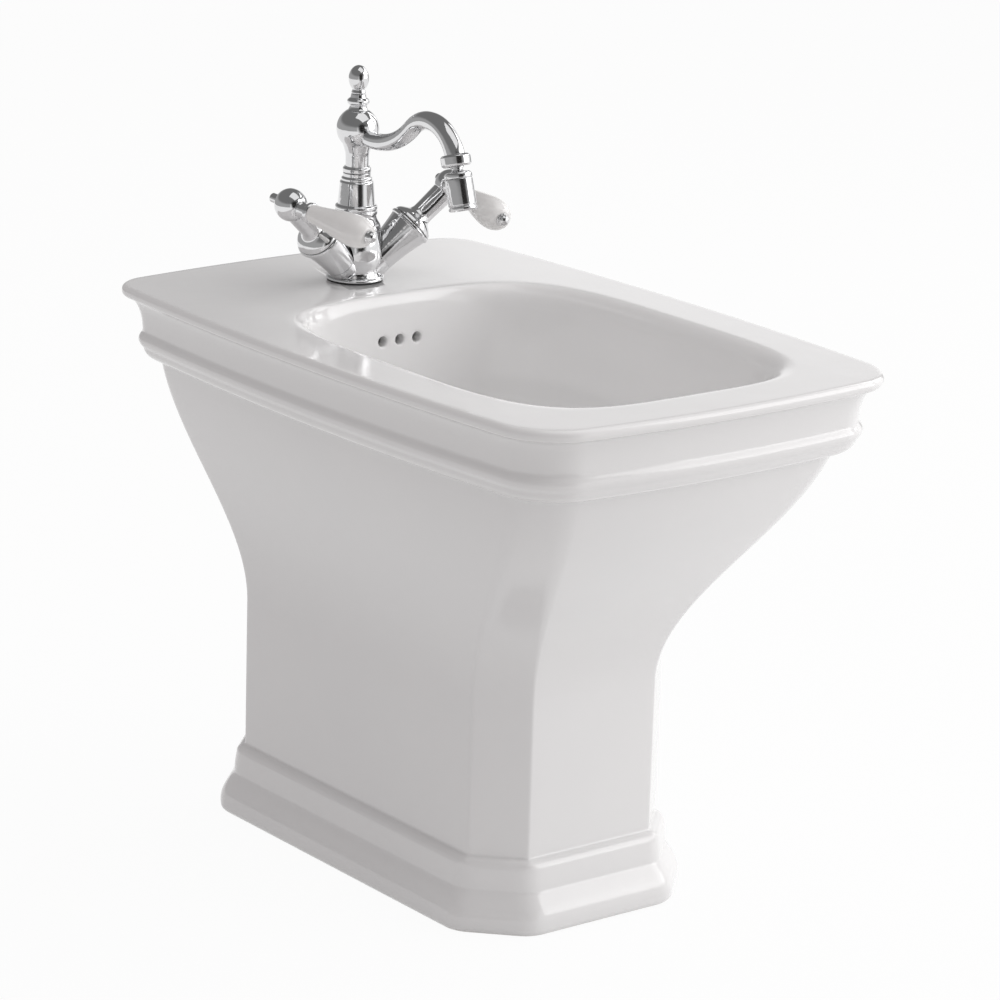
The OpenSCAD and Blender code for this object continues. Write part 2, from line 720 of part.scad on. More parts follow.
// Tube along the spout's centre line, its radius growing from r1 to r2, longer by extra at its end
module swept(r1, r2, sides, extra) {
    last = len(spout_line) - 1;
    end = spout_line[last];
    line = concat(spout_line,
        [[end[0] + extra * cos(end[2]), end[1] + extra * sin(end[2]), end[2]]]);
    m = len(line);
    points = [
        for (i = [0 : m - 1], j = [0 : sides - 1])
            let (
                p = line[i],
                r = lerp(r1, r2, min(i / last, 1)),
                a = 360 * j / sides)
            [r * cos(a), -p[0] + r * sin(a) * sin(p[2]), p[1] + r * sin(a) * cos(p[2])]
    ];
    sides_list = [for (j = [0 : sides - 1]) j];
    faces = concat(
        [sides_list],
        [for (i = [0 : m - 2], j = [0 : sides - 1])
            let (k = (j + 1) % sides)
            each [
                [i * sides + j, (i + 1) * sides + k, i * sides + k],
                [i * sides + j, (i + 1) * sides + j, (i + 1) * sides + k]
            ]],
        [reversed([for (j = sides_list) (m - 1) * sides + j])]);
    polyhedron(points = points, faces = faces, convexity = 6);
}
// Frame of the outlet: +Z runs out along the water, from the middle of the collar
module at_outlet(s = 0) {
    at_tap(outlet_h)
        translate([0, -outlet_reach, 0])
            rotate([180 - outlet_lean, 0, 0])
                translate([0, 0, s])
                    children();
}

crown_r = 8;                              // radius of the flat on top of the spout's ball
top_flat_h = ball_h + sqrt(pow(ball_r, 2) - pow(crown_r, 2));

module spout() {
    fillet = 3.5;
    color("silver")
        difference() {
            union() {
                at_tap()
                    difference() {
                        union() {
                            turned(concat(
                                [[0, column_top_h - spigot_l], [spigot_r, column_top_h - spigot_l]],
                                [[spigot_r, column_top_h + face_gap], [neck_r, column_top_h + face_gap]],
                                [[neck_r, ball_h - ball_r - fillet], [neck_r + 0.7, ball_h - ball_r - 1]],
                                [[neck_r + 2, ball_h - ball_r + 2.4], [0, ball_h]]));
                            translate([0, 0, ball_h])
                                sphere(r = ball_r, $fn = 64);
                        }
                        translate([0, 0, top_flat_h])
                            cylinder(r = ball_r, h = ball_r);
                    }
                at_tap()
                    swept(tube_r1, tube_r2, 18, 0);
                at_outlet(-outlet_collar_t / 2)
                    turned([
                        [0, 0], [outlet_collar_r - 1.5, 0], [outlet_collar_r, 1.5],
                        [outlet_collar_r, outlet_collar_t - 1.5], [outlet_collar_r - 1.5, outlet_collar_t],
                        [0, outlet_collar_t]
                    ]);
            }
            at_tap(column_top_h - spigot_l - cut)
                cylinder(r = waterway_r + 1, h = ball_h - column_top_h + spigot_l + cut + 2);
            at_tap(ball_h)
                cylinder(r = rod_r + run_gap, h = ball_r + cut, $fn = 32);
            at_tap()
                swept(waterway_r, waterway_r, 12, outlet_collar_t);
            at_tap(o_ring_h - 2 * o_ring_r)
                ring(spigot_r + cut, spigot_r - 2 * o_ring_r - 2 * run_gap, 4 * o_ring_r);
        }
}

nut_neck_h = 3.5;
knob_foot_h = knob_top_h - knob_l;
module spout_top_nut() {
    rim_r = crown_r + 0.6;
    rim_h = top_flat_h + nut_neck_h;
    color("silver")
        at_tap()
            turned([
                [rod_r + run_gap, top_flat_h], [crown_r, top_flat_h], [crown_r - 1.2, top_flat_h + 1.8],
                [crown_r - 1.4, rim_h], [rim_r - 0.8, rim_h + 1.2], [rim_r, rim_h + 2.2],
                [rim_r, rim_h + 4], [rim_r - 0.8, rim_h + 5], [crown_r - 1.8, rim_h + 6],
                [crown_r - 2.4, knob_foot_h - face_gap], [rod_r + run_gap, knob_foot_h - face_gap]
            ]);
}
knob_half_h = (knob_l - 1.2) / 2;         // half the height of the knob's egg
knob_c = knob_top_h - knob_half_h;
rod_top_h = knob_c;
module lift_knob() {
    color("silver")
        at_tap()
            difference() {
                turned(concat(
                    [[0, knob_foot_h], [knob_r - 2.6, knob_foot_h], [knob_r - 2.3, knob_foot_h + 0.8]],
                    [for (t = angles(-54, 78, 10)) [knob_r * cos(t), knob_c + knob_half_h * sin(t)]],
                    [[0, knob_top_h]]));
                translate([0, 0, knob_foot_h - cut])
                    cylinder(r = rod_r + run_gap, h = rod_top_h - knob_foot_h + cut, $fn = 32);
            }
}

// ---- Valves and levers, drawn in the frame of a valve ----
bonnet_gap = 0.5;
cartridge_top = bonnet_rim - 9;
spindle_foot = bonnet_root + 1;
spindle_top = hub_s - 4;
module valve_bonnet(side) {
    shell = 1.8;
    // Bell outline, from the seat to the rim
    bell = [for (t = [0 : 0.125 : 1])
        [lerp(bonnet_root_r, bonnet_rim_r - 1.2, t * t * 0.55 + t * 0.45),
         lerp(bonnet_root, bonnet_rim - 3.5, t)]];
    inside = [for (i = [len(bell) - 1 : -1 : 1]) [max(bell[i].x - shell, cartridge_r + 2.6), bell[i].y]];
    color("silver")
        at_valve(side)
            turned(concat(
                [[cartridge_r + fit_gap, bonnet_root]],
                bell,
                [[bonnet_rim_r, bonnet_rim - 2.6], [bonnet_rim_r, bonnet_rim - 1],
                 [bonnet_rim_r - 0.8, bonnet_rim], [bonnet_rim_r - 2.4, bonnet_rim],
                 [bonnet_rim_r - 2.8, bonnet_rim - 3.5]],
                inside,
                [[cartridge_r + 2.6, bonnet_root + 2], [cartridge_r + fit_gap, bonnet_root + 2]]));
}
module valve_cartridge(side) {
    hex_foot = bonnet_root + 2 + 2 * run_gap;
    hex_h = 8;
    color("goldenrod")
        at_valve(side)
            difference() {
                union() {
                    translate([0, 0, socket_bore])
                        cylinder(r = cartridge_r, h = hex_foot - socket_bore + eps);
                    translate([0, 0, hex_foot])
                        cylinder(r = cartridge_r + 2.2, h = hex_h, $fn = 6);
                    translate([0, 0, hex_foot + hex_h - eps])
                        cylinder(r = cartridge_r - 0.4, h = cartridge_top - hex_foot - hex_h);
                }
                translate([0, 0, spindle_foot - face_gap])
                    cylinder(r = spindle_r + run_gap, h = cartridge_top, $fn = 32);
            }
}
module spindle(side) {
    color("goldenrod")
        at_valve(side)
            translate([0, 0, spindle_foot])
                cylinder(r = spindle_r, h = spindle_top - spindle_foot, $fn = 32);
}
ferrule_s = hub_r - 1.5;         // distance of the ferrule's root from the hub's centre
handle_s = 24;                   // distance of the porcelain's root from the hub's centre
tip_s = lever_l - 6.5;           // distance of the porcelain's end from the hub's centre
module along_lever(side, s = 0) {
    at_valve(side)
        translate([0, 0, hub_s])
            rotate([0, 90, 0])
                translate([0, 0, s])
                    children();
}
module lever_skirt(side) {
    dome_r = bonnet_rim_r - 1;
    dome_foot = bonnet_rim + bonnet_gap;
    neck = dome_r - 8.8;
    color("silver")
        at_valve(side)
            difference() {
                turned([
                    [spindle_r + run_gap, dome_foot], [dome_r, dome_foot], [dome_r, dome_foot + 1],
                    [dome_r - 1.2, dome_foot + 3.2], [dome_r - 4, dome_foot + 5.8],
                    [dome_r - 7, dome_foot + 7.6], [neck + 0.2, dome_foot + 10],
                    [neck, dome_foot + 14], [neck + 1, hub_s - hub_r + 3],
                    [spindle_r + run_gap, hub_s - hub_r + 3]
                ]);
                translate([0, 0, hub_s])
                    sphere(r = hub_r, $fn = 64);
            }
}
module lever_hub(side) {
    color("silver")
        difference() {
            at_valve(side)
                translate([0, 0, hub_s])
                    sphere(r = hub_r, $fn = 64);
            at_valve(side)
                cylinder(r = spindle_r + run_gap, h = spindle_top, $fn = 32);
            along_lever(side, ferrule_s)
                cylinder(r = hub_r, h = hub_r);
            along_lever(side, hub_r - 6)
                cylinder(r = lever_rod_r + run_gap, h = hub_r, $fn = 32);
            along_lever(side, -ferrule_s - hub_r)
                cylinder(r = hub_r, h = hub_r);
            along_lever(side, -hub_r - cut)
                cylinder(r = lever_rod_r - 0.5 + run_gap, h = cut + 8, $fn = 32);
        }
}
module lever_ferrule(side) {
    color("silver")
        along_lever(side)
            turned([
                [0, hub_r - 5.8], [lever_rod_r, hub_r - 5.8], [lever_rod_r, ferrule_s],
                [handle_root_r - 1, ferrule_s], [handle_root_r - 0.6, ferrule_s + 1.2],
                [handle_root_r - 1.8, ferrule_s + 3.2], [handle_root_r - 1.6, handle_s - 5.4],
                [handle_root_r + 0.8, handle_s - 3.6], [handle_root_r + 1, handle_s - 1],
                [handle_root_r + 0.2, handle_s], [lever_rod_r, handle_s],
                [lever_rod_r, tip_s + 3.5], [0, tip_s + 3.5]
            ]);
}
// Radius of the porcelain handle at the share t of its length
function handle_profile(t) = t < 0.72
    ? lerp(handle_root_r, handle_r, smooth(t / 0.72) * 0.6 + t / 0.72 * 0.4)
    : tip_r + 0.6 + (handle_r - tip_r - 0.6) * sqrt(max(0, 1 - pow((t - 0.72) / 0.28, 2.2)));
module lever_handle(side) {
    shares = [0, 0.1, 0.2, 0.3, 0.4, 0.5, 0.6, 0.68, 0.76, 0.83, 0.89, 0.94, 0.975, 1];
    color("snow")
        along_lever(side)
            turned(concat(
                [[lever_rod_r + fit_gap, handle_s]],
                [for (t = shares) [handle_profile(t), lerp(handle_s, tip_s, t)]],
                [[lever_rod_r + fit_gap, tip_s]]));
}
module lever_tip(side) {
    color("silver")
        along_lever(side, tip_s)
            difference() {
                turned([
                    [0, 0], [tip_r + 0.5, 0], [tip_r + 0.5, 1], [tip_r, 1.8], [tip_r, 3.4],
                    [tip_r - 0.6, 4.8], [tip_r - 2, 6], [0, lever_l - tip_s]
                ]);
                translate([0, 0, -cut])
                    cylinder(r = lever_rod_r + run_gap, h = cut + 3.6, $fn = 32);
            }
}
module lever_screw(side) {
    head = 10;
    color("silver")
        along_lever(side)
            rotate([180, 0, 0])
                turned([
                    [0, hub_r - 7.6], [lever_rod_r - 0.5, hub_r - 7.6], [lever_rod_r - 0.5, ferrule_s],
                    [lever_screw_r, ferrule_s], [lever_screw_r, ferrule_s + head - 1.2],
                    [lever_screw_r - 1.2, ferrule_s + head], [0, ferrule_s + head]
                ]);
}

// ---- Nozzle on its ball joint ----
joint_s = outlet_collar_t / 2 + joint_drop;
module outlet_ball() {
    stem_r = joint_r - 3.5;
    color("silver")
        at_outlet()
            difference() {
                union() {
                    translate([0, 0, outlet_collar_t / 2])
                        cylinder(r = stem_r + 1.5, h = 1, $fn = 32);
                    translate([0, 0, outlet_collar_t / 2])
                        cylinder(r = stem_r, h = joint_drop, $fn = 32);
                    translate([0, 0, joint_s])
                        sphere(r = joint_r);
                }
                translate([0, 0, -cut])
                    cylinder(r = stem_r - 1.4, h = 2 * joint_s + cut, $fn = 32);
            }
}
seat_r1 = joint_r + run_gap;
seat_r2 = seat_r1 + seat_t;
module nozzle_ball_seat() {
    color("white")
        at_outlet(joint_s)
            intersection() {
                difference() {
                    sphere(r = seat_r2);
                    sphere(r = seat_r1);
                }
                translate([0, 0, -2.2])
                    cylinder(r = nozzle_r, h = 4.4);
            }
}
module nozzle_collar() {
    color("silver")
        at_outlet(joint_s)
            difference() {
                turned([
                    [0, -nozzle_top], [nozzle_r - 1.6, -nozzle_top], [nozzle_r - 0.5, -nozzle_top + 1],
                    [nozzle_r, -nozzle_top + 2], [nozzle_r, -0.6], [nozzle_r - 0.4, 0], [0, 0]
                ]);
                sphere(r = seat_r2 + run_gap);
                translate([0, 0, -nozzle_top - cut])
                    cylinder(r = joint_r - 0.9, h = nozzle_top + cut);
            }
}
aerator_h = 6.5;
module nozzle_body() {
    color("silver")
        at_outlet(joint_s)
            difference() {
                turned([
                    [0, 0], [nozzle_r - 0.4, 0], [nozzle_r, 0.6], [nozzle_r, nozzle_l - 4.2],
                    [nozzle_r - 0.7, nozzle_l - 3.6], [nozzle_r - 0.7, nozzle_l - 3],
                    [nozzle_r + 0.2, nozzle_l - 2.4], [nozzle_r + 0.2, nozzle_l - 0.8],
                    [nozzle_r - 0.6, nozzle_l], [0, nozzle_l]
                ]);
                sphere(r = seat_r2 + run_gap);
                cylinder(r = joint_r - 2.5, h = nozzle_l + cut);
                translate([0, 0, nozzle_l - aerator_h - 1])
                    cylinder(r = nozzle_r - 1.8, h = aerator_h + cut + 1);
            }
}
module aerator() {
    mesh_pitch = 2.9;
    r = nozzle_r - 1.8 - run_gap;
    color("gainsboro")
        at_outlet(joint_s + nozzle_l - aerator_h - 1)
            difference() {
                cylinder(r = r, h = aerator_h);
                translate([0, 0, 2])
                    cylinder(r = r - 1.4, h = aerator_h);
                for (i = [-1 : 1], j = [-1 : 1])
                    translate([i * mesh_pitch, j * mesh_pitch, -cut])
                        cylinder(r = 0.9, h = aerator_h + cut, $fn = 13);
            }
}

// ---- Fixing under the deck ----
clamp_r = 27;
clamp_slot = 30;
clamp_t = 3;
clamp_gasket_t = 2;
module horseshoe(r, t) {
    difference() {
        cylinder(r = r, h = t);
        translate([-clamp_slot / 2, -r - cut, -cut])
            cube([clamp_slot, r + cut + stud_y - stud_r - 3, t + 2 * cut]);
        translate([0, stud_y, -cut])
            cylinder(r = stud_r + fit_gap, h = t + 2 * cut, $fn = 32);
    }
}
module clamp_gasket() {
    color("dimgray")
        at_tap(-deck_t - clamp_gasket_t)
            horseshoe(clamp_r - 0.5, clamp_gasket_t);
}
module clamp_plate() {
    color("lightgray")
        at_tap(-deck_t - clamp_gasket_t - clamp_t)
            horseshoe(clamp_r, clamp_t);
}
nut_h = 7;
module fixing_stud() {
    color("goldenrod")
        at_tap(-deck_t - clamp_gasket_t - clamp_t - nut_h - 14)
            translate([0, stud_y, 0])
                cylinder(r = stud_r, h = deck_t + clamp_gasket_t + clamp_t + nut_h + 14 + stud_depth, $fn = 32);
}
module fixing_nut() {
    color("goldenrod")
        at_tap(-deck_t - clamp_gasket_t - clamp_t - nut_h)
            translate([0, stud_y, 0])
                difference() {
                    cylinder(r = 2 * stud_r, h = nut_h, $fn = 6);
                    translate([0, 0, -cut])
                        cylinder(r = stud_r + run_gap, h = nut_h + 2 * cut, $fn = 32);
                }
}

// ---- Waste ----
waste_gasket_t = 1.5;
washer_t = 1.5;
sleeve_bore_r = sleeve_r - waste_wall;
cone_foot_z = drain_foot_z - cone_h;
nut_top_z = cone_foot_z - washer_t;
nut_foot_z = nut_top_z - back_nut_h;
sleeve_below_nut = 13;
pivot_below_sleeve = 15;
tail_below_pivot = 10;                    // how far below the pivot the tail pipe ends
tail_lap = 8;                             // how far the tail pipe enters the waste body
tail_thread_l = tail_lap + 4;             // length of the pipe's threaded end
tail_step = 0.5;                          // how much thinner that end is
sleeve_foot_z = nut_foot_z - sleeve_below_nut;
flange_top_z = floor_z + waste_gasket_t + waste_flange_t;
tail_bore_r = tail_r - tail_wall;
pivot_z = sleeve_foot_z - pivot_below_sleeve;
tail_top_z = pivot_z - tail_below_pivot;
body_foot_z = tail_top_z - tail_lap;
module at_drain(z) {
    translate([0, drain_y, z])
        children();
}
module waste_flange() {
    slot_h = channel_gap - 1;
    slot_z = floor_z - channel_skin - channel_gap + 0.5;
    color("silver")
        difference() {
            at_drain(0)
                turned([
                    [sleeve_bore_r, sleeve_foot_z], [sleeve_r, sleeve_foot_z],
                    [sleeve_r, floor_z + waste_gasket_t], [waste_flange_r, floor_z + waste_gasket_t],
                    [waste_flange_r, flange_top_z - 1.4], [waste_flange_r - 2.5, flange_top_z - 0.3],
                    [sleeve_r + 2, flange_top_z], [sleeve_bore_r + 1.4, flange_top_z - 0.6],
                    [sleeve_bore_r, flange_top_z - 2]
                ]);
            for (a = [0 : 90 : 270])
                at_drain(slot_z)
                    rotate([0, 0, a])
                        translate([0, -channel_gap * 0.8, 0])
                            cube([sleeve_r + cut, channel_gap * 1.6, slot_h]);
        }
}
module waste_gasket() {
    color("dimgray")
        at_drain(floor_z)
            ring(waste_flange_r - 1.5, drain_hole_r, waste_gasket_t);
}
module cone_gasket() {
    color("dimgray")
        at_drain(cone_foot_z)
            turned([
                [sleeve_r + run_gap, 0], [sleeve_r + 8, 0], [drain_flat_r - 5, cone_h],
                [sleeve_r + run_gap, cone_h]
            ]);
}
module waste_washer() {
    color("gainsboro")
        at_drain(nut_top_z)
            ring(sleeve_r + 9, sleeve_r + fit_gap, washer_t);
}
module waste_nut() {
    lug = 4;
    color("gainsboro")
        at_drain(nut_foot_z)
            difference() {
                union() {
                    cylinder(r = sleeve_r + 6, h = back_nut_h);
                    for (a = [0 : 60 : 300])
                        rotate([0, 0, a])
                            translate([sleeve_r + 4, -lug, 0])
                                cube([5, 2 * lug, back_nut_h]);
                }
                translate([0, 0, -cut])
                    cylinder(r = sleeve_r + run_gap, h = back_nut_h + 2 * cut);
            }
}
port_r = 12;
port_bore_r = 8.5;
seat_h = 8;                               // length of the pivot seat along the port
port_end = pivot_out + seat_h / 2;
module along_port(s = 0) {
    at_drain(pivot_z)
        rotate([-90, 0, 0])
            translate([0, 0, s])
                children();
}
module waste_body() {
    socket_r = sleeve_r + 1.2 * waste_wall;
    shoulder = sleeve_below_nut / 2;
    color("silver")
        difference() {
            union() {
                at_drain(0)
                    turned([
                        [0, body_foot_z], [tail_r + waste_wall, body_foot_z],
                        [tail_r + waste_wall, sleeve_foot_z - shoulder], [socket_r, sleeve_foot_z],
                        [socket_r, nut_foot_z - face_gap], [0, nut_foot_z - face_gap]
                    ]);
                along_port()
                    cylinder(r = port_r, h = port_end);
            }
            at_drain(sleeve_foot_z)
                cylinder(r = sleeve_r + run_gap, h = sleeve_r);
            at_drain(body_foot_z - cut)
                cylinder(r = tail_r - tail_step + run_gap, h = tail_top_z - body_foot_z + cut);
            at_drain(body_foot_z)
                cylinder(r = tail_bore_r, h = sleeve_foot_z - body_foot_z + eps);
            along_port()
                cylinder(r = pivot_ball_r - 0.5, h = port_end);
            along_port(port_end - seat_h)
                cylinder(r = port_bore_r, h = seat_h + cut);
        }
}
module tail_pipe() {
    color("silver")
        at_drain(tail_top_z - tail_l)
            turned([
                [tail_bore_r, 0], [tail_r, 0], [tail_r, tail_l - tail_thread_l],
                [tail_r - tail_step, tail_l - tail_thread_l], [tail_r - tail_step, tail_l],
                [tail_bore_r, tail_l]
            ]);
}
module pivot_seat() {
    color("white")
        along_port(pivot_out)
            difference() {
                translate([0, 0, -seat_h / 2])
                    cylinder(r = port_bore_r - run_gap, h = seat_h);
                sphere(r = pivot_ball_r + run_gap);
                translate([0, 0, -seat_h])
                    cylinder(r = pivot_ball_r - 0.9, h = 2 * seat_h, $fn = 32);
            }
}
module pivot_nut() {
    skirt = 9;
    color("silver")
        along_port(port_end)
            difference() {
                translate([0, 0, -skirt])
                    cylinder(r = port_r + 2.5, h = skirt + 3, $fn = 8);
                translate([0, 0, -skirt - cut])
                    cylinder(r = port_r + run_gap, h = skirt + cut);
                translate([0, 0, -cut])
                    cylinder(r = pivot_ball_r - 0.5, h = 3 + 2 * cut, $fn = 32);
            }
}

// ---- Pop-up linkage: at rest the knob is down, the rod's outer end is low and the plug is up ----
outer_arm = tap_y - drain_y - pivot_out;
rod_tilt = atan(lift_travel / 2 / outer_arm);
plug_travel = 2 * pivot_out * tan(rod_tilt);
plug_top_z = flange_top_z + plug_travel + 0.5;
stem_foot_z = pivot_z + plug_travel / 2 + rod_r / cos(rod_tilt) + face_gap;
strap_hole_z = pivot_z - lift_travel / 2;
strap_top_z = strap_hole_z + 3 * strap_pitch;
rod_foot_z = strap_top_z + 2;
block_h = 14;
module plug_cap() {
    groove = 1;
    color("silver")
        at_drain(plug_top_z - plug_t)
            turned([
                [0, 0], [plug_r - 1.5, 0], [plug_r - 0.6, 0.5], [plug_r - groove, 0.9],
                [plug_r - groove, 2.3], [plug_r, 2.7], [plug_r, plug_t - 1.6],
                [plug_r - 2, plug_t - 0.8], [plug_r - 8, plug_t - 0.2], [0, plug_t]
            ]);
}
module plug_seal() {
    color("dimgray")
        at_drain(plug_top_z - plug_t + 1.6)
            rotate_extrude()
                translate([plug_r - 0.3, 0])
                    circle(r = 0.6, $fn = 16);
}
module plug_stem() {
    fin_top_z = plug_top_z - plug_t;
    fin_h = 24;
    stem_r = 3.5;
    color("white")
        at_drain(0)
            union() {
                turned([
                    [0, stem_foot_z], [1, stem_foot_z + 0.1], [2, stem_foot_z + 0.4],
                    [3, stem_foot_z + 1.1], [stem_r, stem_foot_z + 2], [stem_r, fin_top_z], [0, fin_top_z]
                ]);
                intersection() {
                    translate([0, 0, fin_top_z - fin_h])
                        cylinder(r = sleeve_bore_r - 2 * run_gap, h = fin_h);
                    for (a = [0, 90])
                        rotate([0, 0, a + 45])
                            translate([-sleeve_r, -1, fin_top_z - fin_h])
                                cube([2 * sleeve_r, 2, fin_h]);
                }
            }
}
// Frame of the ball rod: +Z runs out along the rod from its ball
module along_rod(s = 0) {
    along_port(pivot_out)
        rotate([-rod_tilt, 0, 0])
            translate([0, 0, s])
                children();
}
module ball_rod() {
    color("silver")
        union() {
            along_rod(-pivot_out - 3)
                cylinder(r = rod_r, h = pivot_out + outer_arm + 18, $fn = 32);
            along_rod()
                sphere(r = pivot_ball_r);
        }
}
module lift_strap() {
    color("lightgray")
        difference() {
            translate([0, tap_y, 0])
                union() {
                    translate([-strap_w / 2, -strap_t / 2, strap_hole_z - strap_pitch])
                        cube([strap_w, strap_t, strap_top_z - strap_hole_z + strap_pitch + eps]);
                    translate([-strap_w / 2, -rod_r - 3, strap_top_z])
                        cube([strap_w, 2 * rod_r + 6, block_h]);
                }
            translate([0, tap_y, rod_foot_z - run_gap])
                cylinder(r = rod_r + run_gap, h = block_h, $fn = 32);
            translate([0, tap_y, strap_top_z + block_h / 2])
                rotate([-90, 0, 0])
                    cylinder(r = 2 + run_gap, h = rod_r + 3 + cut, $fn = 32);
            for (i = [0 : 2])
                translate([0, tap_y - strap_t, strap_hole_z + i * strap_pitch])
                    rotate([-90, 0, 0])
                        cylinder(r = strap_hole_r, h = 2 * strap_t, $fn = 32);
        }
}
module strap_screw() {
    color("silver")
        translate([0, tap_y, strap_top_z + block_h / 2])
            rotate([-90, 0, 0])
                turned([
                    [0, rod_r + run_gap], [2, rod_r + run_gap], [2, rod_r + 3], [5, rod_r + 3],
                    [5, rod_r + 9], [4, rod_r + 10], [0, rod_r + 10]
                ]);
}
module spring_clip() {
    leaf = 0.6;
    leaf_w = 8;
    spread = 3.4;                         // distance of each leaf from the strap's middle
    bend_x = strap_w / 2 + 1.5;           // the bend passes beside the strap
    color("lightgray")
        along_rod(outer_arm / cos(rod_tilt))
            difference() {
                union() {
                    for (s = [-1, 1])
                        translate([-leaf_w / 2, -leaf_w / 2, s * spread - leaf / 2])
                            cube([leaf_w / 2 + bend_x + leaf, leaf_w, leaf]);
                    translate([bend_x, -leaf_w / 2, -spread - leaf / 2])
                        cube([leaf, leaf_w, 2 * spread + leaf]);
                }
                translate([0, 0, -2 * spread])
                    cylinder(r = rod_r + run_gap, h = 4 * spread, $fn = 32);
            }
}
module lift_rod() {
    color("silver")
        translate([0, tap_y, rod_foot_z])
            cylinder(r = rod_r, h = deck_h + rod_top_h - rod_foot_z - run_gap, $fn = 32);
}

ceramic_body();
base_gasket();
base_flange();
mixer_body();
column();
swivel_nut();
spout_o_ring();
spout();
spout_top_nut();
lift_knob();
lift_rod();
valve_bonnet(-1);  // left_valve_bonnet
valve_cartridge(-1);  // left_valve_cartridge
spindle(-1);  // left_spindle
lever_skirt(-1);  // left_lever_skirt
lever_hub(-1);  // left_lever_hub
lever_ferrule(-1);  // left_lever_ferrule
lever_handle(-1);  // left_lever_handle
lever_tip(-1);  // left_lever_tip
lever_screw(-1);  // left_lever_screw
valve_bonnet(1);  // right_valve_bonnet
valve_cartridge(1);  // right_valve_cartridge
spindle(1);  // right_spindle
lever_skirt(1);  // right_lever_skirt
lever_hub(1);  // right_lever_hub
lever_ferrule(1);  // right_lever_ferrule
lever_handle(1);  // right_lever_handle
lever_tip(1);  // right_lever_tip
lever_screw(1);  // right_lever_screw
outlet_ball();
nozzle_ball_seat();
nozzle_collar();
nozzle_body();
aerator();
clamp_gasket();
clamp_plate();
fixing_stud();
fixing_nut();
waste_flange();
waste_gasket();
cone_gasket();
waste_washer();
waste_nut();
waste_body();
tail_pipe();
plug_cap();
plug_seal();
plug_stem();
ball_rod();
pivot_seat();
pivot_nut();
lift_strap();
strap_screw();
spring_clip();
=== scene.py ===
"""Looks of a floor standing bidet with a two-lever mixer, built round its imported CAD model."""

import json

import bpy
import numpy as np
from mathutils import Matrix, Vector


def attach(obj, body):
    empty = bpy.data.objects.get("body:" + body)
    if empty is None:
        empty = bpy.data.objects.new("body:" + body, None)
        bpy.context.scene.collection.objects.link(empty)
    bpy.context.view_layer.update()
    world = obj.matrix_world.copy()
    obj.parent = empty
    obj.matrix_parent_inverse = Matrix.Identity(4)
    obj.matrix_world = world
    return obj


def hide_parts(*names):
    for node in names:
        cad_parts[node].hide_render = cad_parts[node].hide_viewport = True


MM = 0.001

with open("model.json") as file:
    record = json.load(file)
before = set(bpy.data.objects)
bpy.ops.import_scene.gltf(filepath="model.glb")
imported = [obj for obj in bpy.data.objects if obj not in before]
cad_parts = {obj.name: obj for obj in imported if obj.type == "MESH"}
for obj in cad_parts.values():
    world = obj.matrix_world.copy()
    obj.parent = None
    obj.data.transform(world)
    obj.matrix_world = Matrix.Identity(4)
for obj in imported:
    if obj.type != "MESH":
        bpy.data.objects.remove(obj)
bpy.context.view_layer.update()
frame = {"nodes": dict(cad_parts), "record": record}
nodes, record = frame["nodes"], frame["record"]

# ---- Driving dimensions of the ceramic, in millimetres, as the CAD model has them ----
RIM_W, RIM_L, DECK_H = 355.0, 555.0, 420.0
SIDE_BOW, END_BOW, RIM_CORNER_R, FRONT_CORNER_R = 12.2, 11.1, 23.0, 38.0
EDGE_T, EDGE_ROUND = 9.0, 3.0
COVE_H, COVE_IN, BEAD_H, BEAD_OUT, OVOLO_H = 27.0, 12.5, 12.0, 2.5, 10.0
NECK_IN, NECK_CORNER_R = 21.5, 18.0
PEDESTAL_W, PEDESTAL_FRONT, PEDESTAL_BACK, PEDESTAL_CHAMFER = 177.0, 133.5, 221.5, 31.5
FLARE_FOOT_H, FLARE_TOP_DROP = 172.0, 32.0
PLINTH_OUT = 19.0
BOWL_W, BOWL_FRONT, BOWL_BACK, BOWL_DEPTH = 274.0, 235.0, 123.0, 142.0
LIP_W, LIP_H, WALL_DROP, WALL_LEAN, REAR_LEAN = 14.0, 16.0, 70.0, 14.0, 0.3
LIP_SQUARE, WALL_SQUARE = 4.0, 3.5  # exponents of the bowl's superellipses
DRAIN_Y, DRAIN_HOLE_R, DRAIN_FLAT_R, DRAIN_T = 30.0, 23.0, 40.0, 27.0
WALL, DECK_T, WINDOW_W, WINDOW_H = 13.0, 16.0, 100.0, 300.0
TAP_HOLE_R, TAP_Y = 17.5, 178.0
OVERFLOW_R, OVERFLOW_PITCH, OVERFLOW_COUNT, OVERFLOW_DROP = 4.0, 16.0, 3, 35.0
CHANNEL_SKIN, CHANNEL_GAP, CHANNEL_W = 9.0, 9.0, 46.0
SCREW_HOLE_R, SCREW_SPACING, SCREW_Y, LUG_T, LUG_L = 5.5, 120.0, 150.0, 22.0, 36.0
CUT = 4.0  # how far a cutter runs past the face that it opens

# ---- Driving dimensions of the tap, as the CAD model has them ----
GASKET_T, FLANGE_R, FLANGE_H, FOOT_R, BODY_H, BELLY_R = 1.5, 22.5, 2.5, 19.6, 40.0, 21.0
VALVE_RISE, VALVE_SPLAY, LEVER_REST = 42.0, 15.0, 1.0
INLET_DEPTH = 8.6
INLETS_AND_STUD = ((-10, -2, 5), (10, -2, 5), (0, 11.5, 3.95))  # place and radius of each hole
COLUMN_RING_R, COLUMN_TOP_R, COLUMN_TOP_H, SWIVEL_NUT_H, SWIVEL_NUT_R = 16.4, 10.8, 84.0, 5.0, 11.0
NECK_R, SPIGOT_R, SPIGOT_L, BALL_R, BALL_H, CROWN_R = 9.0, 8.5, 19.7, 16.5, 118.0, 8.0
CREST_REACH, CREST_H, CREST_R, DIP_REACH, DIP_H = 93.0, 105.0, 34.0, 24.0, 112.0
